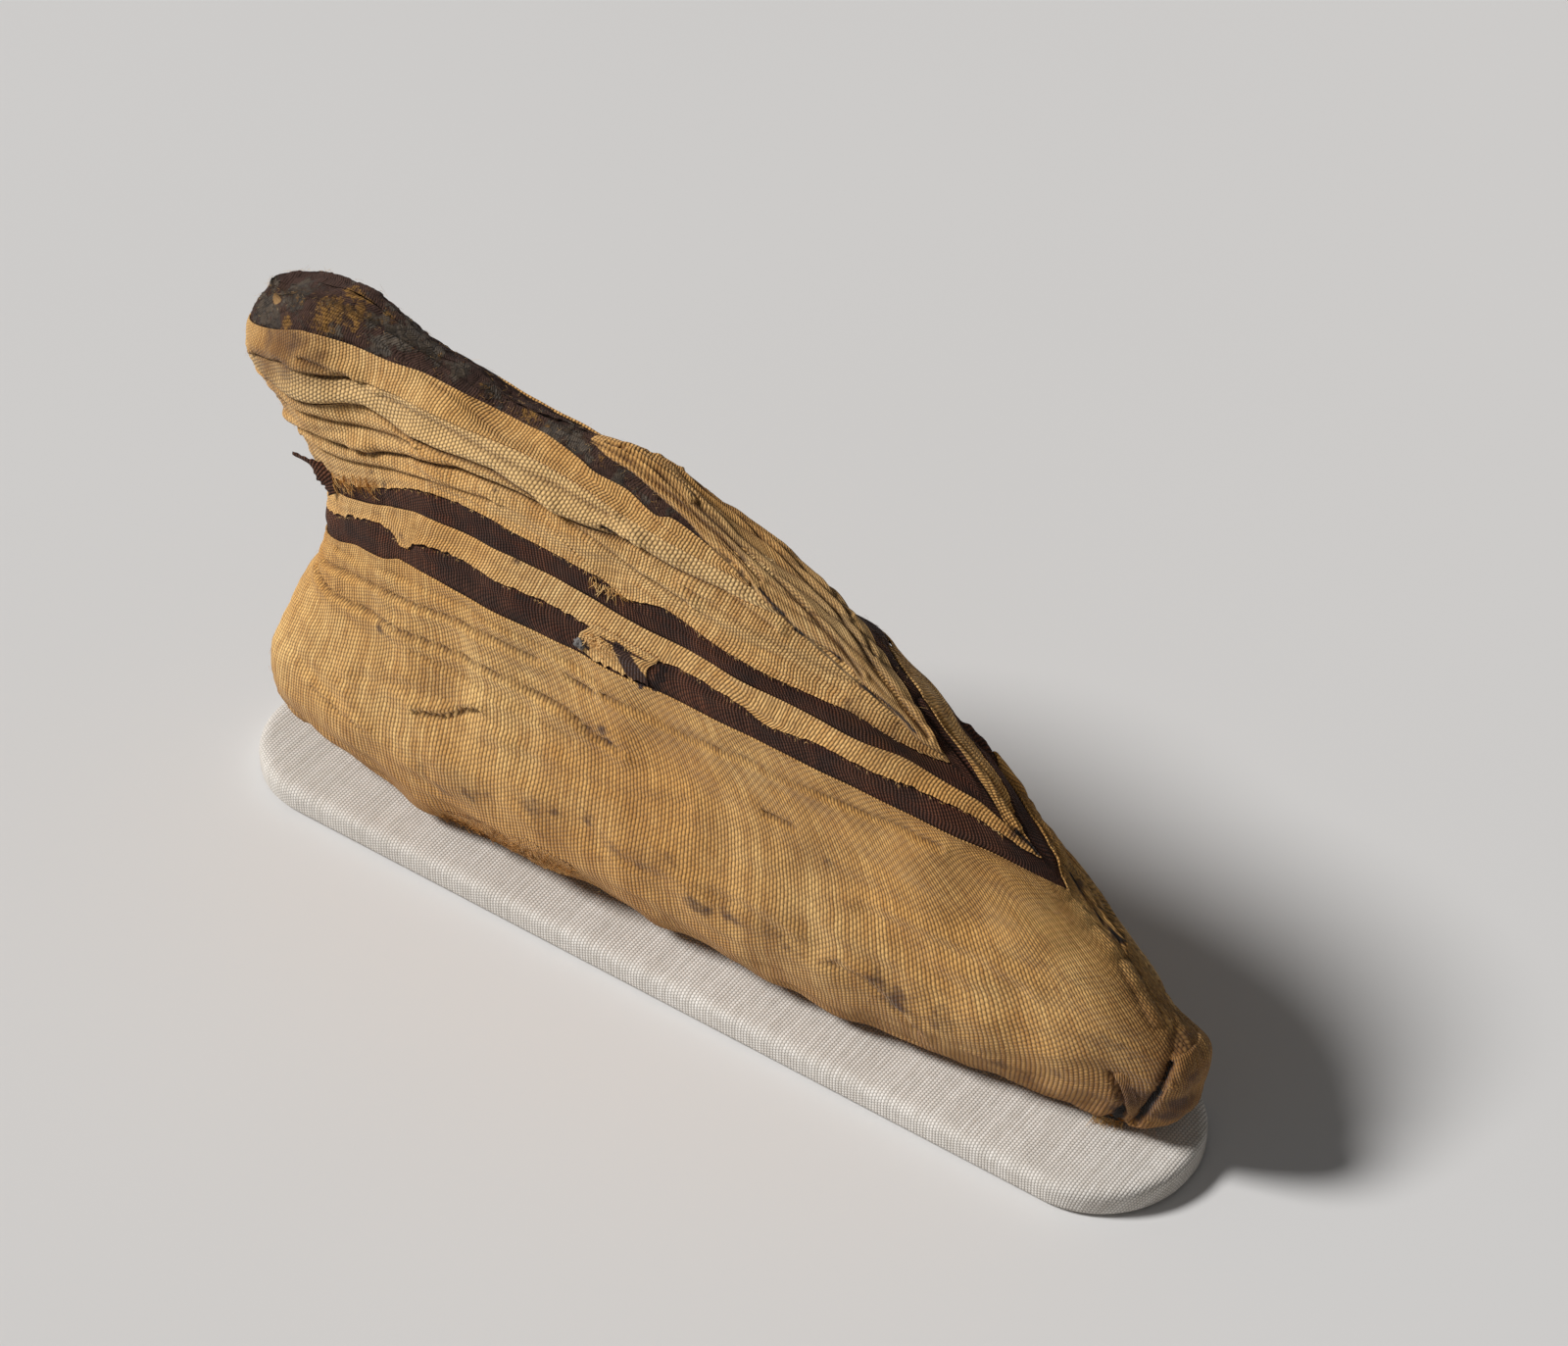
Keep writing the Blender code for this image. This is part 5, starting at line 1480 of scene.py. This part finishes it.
def finish_material(tree, colour, roughness, height, distance, **constant):
    """Ends a tree in one surface with a bump that is distance deep (m)."""
    bump = add(tree, "Bump", {"Height": height, "Distance": distance, "Strength": 1.0})
    skin = add(tree, "BsdfPrincipled", {"Base Color": colour, "Roughness": roughness, "Normal": bump})
    for key, value in constant.items():
        skin.node.inputs[key.replace("_", " ")].default_value = value
    add(tree, "OutputMaterial", {"Surface": skin})


print("a web colour in linear light", [round(channel, 3) for channel in linear("#FFD085")])

# %% [markdown]
# ## Old linen
#
# Wrapping linen has about ten ribs to the centimetre, so a rib is about 1 mm wide. Ribs that fine don't show
# in the render, so they are drawn 1.2 mm apart, and 1.4 mm in the open weave. Between the threads lies the
# gap's dark colour, and on top come age, smears, a darkening towards the bottom, soiling, stains and painted
# shade. The soiling, the stains and the painted shade are values that the cloths carry on their points; the
# soiling and stains hold painted shade too, over the tail and in its slots and pocket, and the painted shade
# lies in creases, pleats and deep openings.

# %% Linen
# Colours of the soiling and of the stains, which both also carry painted shade, of the dyed scraps, and of the
# painted shade in the deepest openings
SOIL_AND_SHADE_COLOUR = "#6A411A"
STAIN_AND_SHADE_COLOUR = "#4E3527"
DYE_COLOUR = "#38241D"
DEEP_SHADE = "#180C05"
# How far the threads wander (m), and the sizes of the patterns (mm): the wandering, fine grime, spots, and the
# streaks and smears, which are longer one way. A noise's scale is the number of its patches in a metre.
THREAD_WANDER = 0.0004
WANDER_SIZE = 18.18
GRIME_SIZE = 3.846
SPOT_SIZE = 23.81
STREAK_SIZES = (1.667, 4.545)
SMEAR_SIZES = (22.22, 9.091)


def weave(name, light, middle, dark, gap, stain_and_shade, rib=1.2, cross=1.1, rib_share=0.62, bottom_darkening=0.0,
          bump=0.5, gap_share=0.95, blotch=71.43, smear_share=0.35, sheen=0.1, peak=0.9):
    """Aged linen: ribs across the strip, finer threads along it, uneven threads, blotches, stains and painted
    shade.

    rib and cross are the spacing of the two thread directions, and blotch is the size of the cloudy patches,
    all in mm.
    """
    material, tree = new_material(name)
    place = add(tree, "TexCoord", out="Object")
    wander = add(tree, "TexNoise", {"Vector": place, "Scale": 1000 / WANDER_SIZE, "Detail": 3.0}, out="Color")
    drift = add(tree, "VectorMath SUBTRACT", wander, (0.5, 0.5, 0.5))
    push = add(tree, "VectorMath SCALE", {0: drift, "Scale": THREAD_WANDER})
    thread_place = add(tree, "VectorMath ADD", add(tree, "UVMap"), push)
    run = add(tree, "SeparateXYZ", thread_place)
    ribs = add(tree, "Math MULTIPLY", run, 1000 / rib)
    crossings = add(tree, "Math MULTIPLY", run.node.outputs[1], 1000 / cross)
    rib_number = add(tree, "Math FLOOR", ribs)
    shifted = add(tree, "Math MULTIPLY_ADD", rib_number, 0.5, crossings)
    rib_wave, weft = (
        add(tree, "Math ABSOLUTE", add(tree, "Math SINE", add(tree, "Math MULTIPLY", way, math.pi)))
        for way in (ribs, shifted))
    rib_wave = add(tree, "Math POWER", rib_wave, peak)
    opened, soil_and_shade, stain_and_shade_value, dyed, shade = (add(tree, "Attribute", attribute_name=value, out="Fac")
                                                for value in ("open", "soil_and_shade", "stain_and_shade", "dye", "shade"))
    share = add(tree, "Math MULTIPLY_ADD", opened, 0.5 - rib_share, rib_share)
    weft_share = add(tree, "Math MULTIPLY", weft, add(tree, "Math SUBTRACT", 1.0, share))
    threads = add(tree, "Math MULTIPLY_ADD", rib_wave, share, weft_share)
    threads = add(tree, "Math MULTIPLY_ADD", opened, -0.08, threads)
    own_tone = add(tree, "TexWhiteNoise", {"W": rib_number}, noise_dimensions="1D")
    streak_place, smear_place = (
        add(tree, "VectorMath MULTIPLY", thread_place, (1000 / across, 1000 / along, 0.0))
        for across, along in (STREAK_SIZES, SMEAR_SIZES))
    # Patterns: where they are read, scale, detail and roughness. The last two follow the threads.
    cloud, fine, spots, streak, smear = (
        add(tree, "TexNoise", {"Vector": vector, "Scale": scale, "Detail": detail, "Roughness": rough})
        for vector, scale, detail, rough in (
            (place, 1000 / blotch, 4.0, 0.6), (place, 1000 / GRIME_SIZE, 3.0, 0.5),
            (place, 1000 / SPOT_SIZE, 5.0, 0.7), (streak_place, 1.0, 2.0, 0.5),
            (smear_place, 1.0, 7.0, 0.72)))
    tone = add(tree, "Math MULTIPLY_ADD", own_tone, 0.35, add(tree, "Math MULTIPLY", streak, 0.8))
    height = add(tree, "SeparateXYZ", place).node.outputs[2]
    # Darker towards the bottom of the wrapping, in the colour of the stains
    low = add(tree, "Math MULTIPLY", add(tree, "MapRange", height, 0.05, 0.012), bottom_darkening)
    low = add(tree, "Math MULTIPLY", low, add(tree, "MapRange", cloud, 0.3, 0.6, 0.5, 1.0))
    soil_and_shade_mask = add(tree, "Math MULTIPLY", soil_and_shade, add(tree, "MapRange", cloud, 0.3, 0.65, 0.65, 1.0))
    stain_and_shade_mask = add(tree, "Math ADD", stain_and_shade_value, add(tree, "Math MULTIPLY_ADD", fine, 0.9, -0.45))
    torn_dye = add(tree, "Math ADD", dyed, add(tree, "Math MULTIPLY_ADD", streak, 0.5, -0.25))
    colour = layered(tree, linear(middle), (
        (add(tree, "MapRange", cloud, 0.38, 0.62), light),
        (add(tree, "MapRange", tone, 0.35, 0.8, 0.6, 0.0), dark),
        (add(tree, "Math MULTIPLY", opened, 0.5), light),
        (add(tree, "MapRange", smear, 0.48, 0.74, 0.0, smear_share), stain_and_shade),
        (add(tree, "MapRange", fine, 0.55, 0.75, 0.0, 0.3), stain_and_shade),
        (low, stain_and_shade),
        (add(tree, "MapRange", spots, 0.66, 0.74, 0.0, 0.5), stain_and_shade),
        # Soiling, with painted shade over the tail
        (add(tree, "Math MULTIPLY", soil_and_shade_mask, 0.85), SOIL_AND_SHADE_COLOUR),
        # Stains, with painted shade in slots, in the tail's pocket and over the tail
        (add(tree, "MapRange", stain_and_shade_mask, 0.25, 0.7, 0.0, 0.85), STAIN_AND_SHADE_COLOUR),
        (add(tree, "MapRange", torn_dye, 0.42, 0.55), DYE_COLOUR),
        (add(tree, "MapRange", threads, 0.12, 0.85, gap_share, 0.0), gap),
        # Painted shade in creases, pleat valleys and deep openings, near black in the deepest
        (add(tree, "MapRange", shade, 0.0, 1.0, 0.0, 0.85), gap),
        (add(tree, "MapRange", shade, 0.9, 1.5), DEEP_SHADE)))
    relief_now = add(tree, "Math MULTIPLY_ADD", fine, 0.5, threads)
    finish_material(tree, colour, 0.92, relief_now, bump * MM, Sheen_Weight=sheen, Sheen_Roughness=0.6,
                    Specular_IOR_Level=0.2)
    return material


# Aged linen, tanned by time, which shows every rib
tan_material = weave("aged_tan_linen", "#FFD085", "#EFB565", "#B67C36", "#4A280E", "#8E5822", bottom_darkening=0.8,
                     gap_share=0.85)
# The same linen on the strips, a little paler, so that the bands stand out from the shroud, and painted
# lighter to make up for the light that falls less on the upper bands
strip_material = weave("aged_strip_linen", "#FFD38E", "#F3BB6E", "#BD843F", "#4E2C12", "#935E2B",
                       smear_share=0.25, gap_share=0.85)
# Open basket weave, whose pale threads leave dark holes
pale_material = weave("open_basket_linen", "#FFD898", "#F9C67A", "#CA954C", "#54321A", "#9A6632", rib=1.4,
                      cross=1.25, rib_share=0.5, bump=0.6, gap_share=0.82, smear_share=0.15)
# Linen dyed dark brown, whose worn places turn reddish
dark_material = weave("dyed_dark_linen", "#7A4E38", "#4E352B", "#38231A", "#070302", "#74391F", bump=0.6,
                      gap_share=1.0, blotch=13.33, smear_share=0.6, sheen=0.02, peak=2.0)
# New board linen, greyish white and even
board_material = weave("new_board_linen", "#F6F0E8", "#EBE4DB", "#CFC7BC", "#6F665B", "#D2C8BB", cross=1.2,
                       rib_share=0.5, gap_share=0.8, bump=0.3, blotch=166.7, smear_share=0.15)
print("linens", tan_material.name, strip_material.name, pale_material.name, dark_material.name)

# %% [markdown]
# ## Resin
#
# The resin went on hot and dark, and has turned slate grey and brown where it lies thick. Between its
# patches the dyed cloth shows, and here and there a worn place shows ochre fibres. Fine cracks part the
# crust.

# %% Resin
RESIN_RIB = 1.0 * MM
OCHRE_THREAD = 1.2 * MM
# Sizes in mm: the crust's patches, its small grain, the tints of both, and the net of cracks
CRUST_SIZE = 7.692
CRUST_GRAIN = 2.381
TINT_SIZE = 14.29
CRACK_SIZE = 3.846


def resin_cloth_material():
    """Dark dyed linen under patches of hardened resin: slate grey, brown and ochre."""
    material, tree = new_material("resin_soaked_linen")
    place = add(tree, "TexCoord", out="Object")
    edge, small, tint = (
        add(tree, "TexNoise", {"Vector": place, "Scale": 1000 / size, "Detail": detail, "Roughness": rough})
        for size, detail, rough in ((CRUST_SIZE, 6.0, 0.7), (CRUST_GRAIN, 5.0, 0.7), (TINT_SIZE, 4.0, 0.5)))
    cracks = add(tree, "TexVoronoi", {"Vector": place, "Scale": 1000 / CRACK_SIZE}, feature="DISTANCE_TO_EDGE")
    run = add(tree, "SeparateXYZ", add(tree, "UVMap"))
    ribs, crossings = (
        add(tree, "Math ABSOLUTE", add(tree, "Math SINE", add(tree, "Math MULTIPLY", way, math.pi / size)))
        for way, size in ((run, RESIN_RIB), (run.node.outputs[1], OCHRE_THREAD)))
    grey, ochre, shade = (add(tree, "Attribute", attribute_name=value, out="Fac")
                          for value in ("grey", "ochre", "shade"))
    linen = layered(tree, linear("#4C342A"), (
        (add(tree, "MapRange", ribs, 0.1, 0.7, 0.85, 0.0), "#140C09"),
        (add(tree, "MapRange", tint, 0.5, 0.62, 0.0, 0.6), "#33221B")))
    crust = layered(tree, linear("#43372B"), (
        (add(tree, "MapRange", tint, 0.4, 0.6), "#5E5143"),
        (add(tree, "MapRange", small, 0.45, 0.65, 0.0, 0.8), "#2A221C"),
        (add(tree, "MapRange", cracks, 0.0, 0.1, 0.7, 0.0), "#17110D")))
    fibres = layered(tree, linear("#6B4A22"), ((add(tree, "MapRange", crossings, 0.2, 0.8), "#9C7238"),))
    thick = add(tree, "MapRange", add(tree, "Math MULTIPLY_ADD", grey, 0.22, edge), 0.56, 0.62)
    worn = add(tree, "MapRange", add(tree, "Math MULTIPLY_ADD", ochre, 0.35, small), 0.64, 0.78, 0.0, 0.9)
    # The last layer is painted shade in creases, in openings and where the crust lies low
    colour = layered(tree, linen, ((thick, crust), (worn, fibres),
                                   (add(tree, "Math MULTIPLY", shade, 0.5), "#150E0B")))
    relief_now = add(tree, "Math MULTIPLY", small, 0.9)
    for height, strength in ((ribs, 0.25), (thick, 0.4), (add(tree, "MapRange", cracks, 0.0, 0.1), 0.3)):
        relief_now = add(tree, "Math MULTIPLY_ADD", height, strength, relief_now)
    finish_material(tree, colour, add(tree, "MapRange", thick, 0.0, 1.0, 0.9, 0.62), relief_now, 0.7 * MM,
                    Specular_IOR_Level=0.3)
    return material


resin_material = resin_cloth_material()
print("resin", resin_material.name)

# %% [markdown]
# ## Fibres and hidden materials
#
# The loose fibres are painted brighter than the cloth, a painted highlight for the light that a thin fibre
# catches on its own. The pieces inside the wrapping get a plain grain each: fibre board, wadding, dried flesh,
# bone, horn and feathers.

# %% Grained materials
def grained(name, light, dark, size, roughness=0.85, stretch=(1, 1, 1), bump=0.3, detail=5.0, octave=0.6,
            specular=0.25):
    """A dull material with long or round grain of a size in mm, and a bump in mm."""
    material, tree = new_material(name)
    stretched = add(tree, "VectorMath MULTIPLY", add(tree, "TexCoord", out="Object"), stretch)
    grain = add(tree, "TexNoise", {"Vector": stretched, "Scale": 1000 / size, "Detail": detail,
                                   "Roughness": octave})
    colour = layered(tree, linear(dark), ((add(tree, "MapRange", grain, 0.35, 0.65), light),))
    finish_material(tree, colour, roughness, grain, bump * MM, Specular_IOR_Level=specular)
    return material


# Loose flax threads, painted paler and brighter than the cloth as a painted highlight, and the stained and
# resin-soaked ones
FIBRES = {key: grained(name, light, dark, 2.5, bump=0.1, detail=2.0, octave=0.5, specular=0.2)
          for key, name, light, dark in (
              ("tan", "tan_fibre", "#EFC88A", "#C08D4C"), ("brown", "stained_fibre", "#C08A4C", "#6A4420"),
              ("orange", "orange_fibre", "#E09A48", "#A5672A"), ("dark", "resin_fibre", "#6A5038", "#2A1E16"))}
# Hardened resin, grey with a dull shine
lump_material = grained("grey_resin", "#8B8784", "#3F3A37", 1.111, roughness=0.5)
# What the wrapping and the board hide, each with its own dull colour and grain
INNER = {
    "board_core": grained("grey_fibre_board", "#B4AEA4", "#988F84", 3.333),
    "board_padding": grained("felted_wadding", "#E0DBD0", "#C4BDB0", 5.556, 0.95),
    "inner_linen": grained("wadded_linen", "#A88558", "#7A5B38", 4.167, 0.95),
    "dried_flesh": grained("dried_flesh", "#5A4232", "#33241B", 11.11, 0.7),
    "bone": grained("dry_bone", "#B29468", "#8C7048", 8.333, 0.7),
    "horn": grained("beak_horn", "#4A3E34", "#241D18", 6.25, 0.45),
    "feather": grained("pressed_feathers", "#54402C", "#2A1E14", 16.67, 0.8, (1, 1, 8)),
    "board_linen": grained("lining_cloth", "#D2CCC3", "#AFA79C", 1.111, 0.9),
    "tan_linen": strip_material,
    "dark_linen": dark_material,
    "pale_linen": pale_material,
    "resin_linen": resin_material,
}


def dress(piece, material):
    """Gives a piece one material."""
    piece.data.materials.clear()
    piece.data.materials.append(material)


for part in frame["record"]["subparts"]:
    for holder in frame["nodes"][part["node"]].material_slots:
        holder.material = INNER[part["material_slot"]]
DRESSED = ((tan_material, (shroud, hem_scrap, tail_pouch, tail_lip)),
           (strip_material, (tan_low, pleated, head_cloth, ridge_cloth, gap_scrap)),
           (dark_material, (dark_low, dark_high, loose_end)),
           (pale_material, (open_weave,)), (resin_material, (resin_cloth,)),
           (board_material, (board_cover,)), (lump_material, (resin_lump,)))
for material, pieces in DRESSED:
    for piece in pieces:
        dress(piece, material)
for piece, colour_name in frays:
    dress(piece, FIBRES[colour_name])
print("materials", len(bpy.data.materials))

# %% [markdown]
# ## The cloths' cut sizes
#
# A sheet of cloth keeps its size however it is wound, so winding a cloth prints the flat size that it was cut
# to.

# %% [markdown]
# ## Floor and light
#
# The object lies on a plain pale table. The light is a studio's large soft key from the upper left, so far
# off that it lights the table evenly. A sun with a wide disc gives that. A weak fill stands on the camera's
# side, and the pale surroundings are bright only to the camera and in reflections, so that they add little
# light.

# %% Floor and light
KEY_PLACE = (-2.8, -1.8, 3.0)
KEY_STRENGTH = 3.5
KEY_WIDTH = math.radians(15)
FILL_PLACE = (0.4, -1.9, 0.8)
FILL_SIZE = 1.4
FILL_POWER = 0.6
FILL_AIM = (0, 0, 0.08)
TABLE_SIZE = 12.0
TABLE_CLOUD = 333.3

bpy.ops.object.select_all(action="DESELECT")
bpy.ops.mesh.primitive_plane_add(size=TABLE_SIZE, location=(0, 0, 0))
floor = bpy.context.object
floor.name = "floor"
# A painted table top, matt, with hardly any cloudiness
floor_material, floor_tree = new_material("pale_table")
floor_grain = add(floor_tree, "TexNoise", {"Vector": add(floor_tree, "TexCoord", out="Object"),
                                             "Scale": 1000 / TABLE_CLOUD})
floor_colour = layered(floor_tree, linear("#D8D6D4"), ((floor_grain, "#DCDAD8"),))
finish_material(floor_tree, floor_colour, 0.9, floor_grain, 0.1 * MM)
dress(floor, floor_material)


def studio_light(name, kind, place, strength, aim):
    """A light that faces a point."""
    bpy.ops.object.select_all(action="DESELECT")
    bpy.ops.object.light_add(type=kind, location=place)
    light = bpy.context.object
    light.name = name
    light.data.energy = strength
    light.rotation_euler = (Vector(aim) - Vector(place)).to_track_quat("-Z", "Y").to_euler()
    return light


studio_light("key_light", "SUN", KEY_PLACE, KEY_STRENGTH, (0, 0, 0)).data.angle = KEY_WIDTH
studio_light("fill_light", "AREA", FILL_PLACE, FILL_POWER, FILL_AIM).data.size = FILL_SIZE
world = bpy.data.worlds.new("studio")
bpy.context.scene.world = world
world.use_nodes = True
sky = world.node_tree
seen = add(sky, "LightPath", out="Is Camera Ray")
for ray in ("Is Glossy Ray", "Is Transmission Ray"):
    seen = add(sky, "Math MAXIMUM", seen, sky.nodes["Light Path"].outputs[ray])
sky.nodes["Background"].inputs["Color"].default_value = linear("#DADADA")
sky_strength = add(sky, "MapRange", seen, 0.0, 1.0, 0.15, 0.8)
sky.links.new(sky_strength, sky.nodes["Background"].inputs["Strength"])
bpy.context.scene.view_settings.view_transform = "Standard"
print("lights", len(bpy.data.lights))
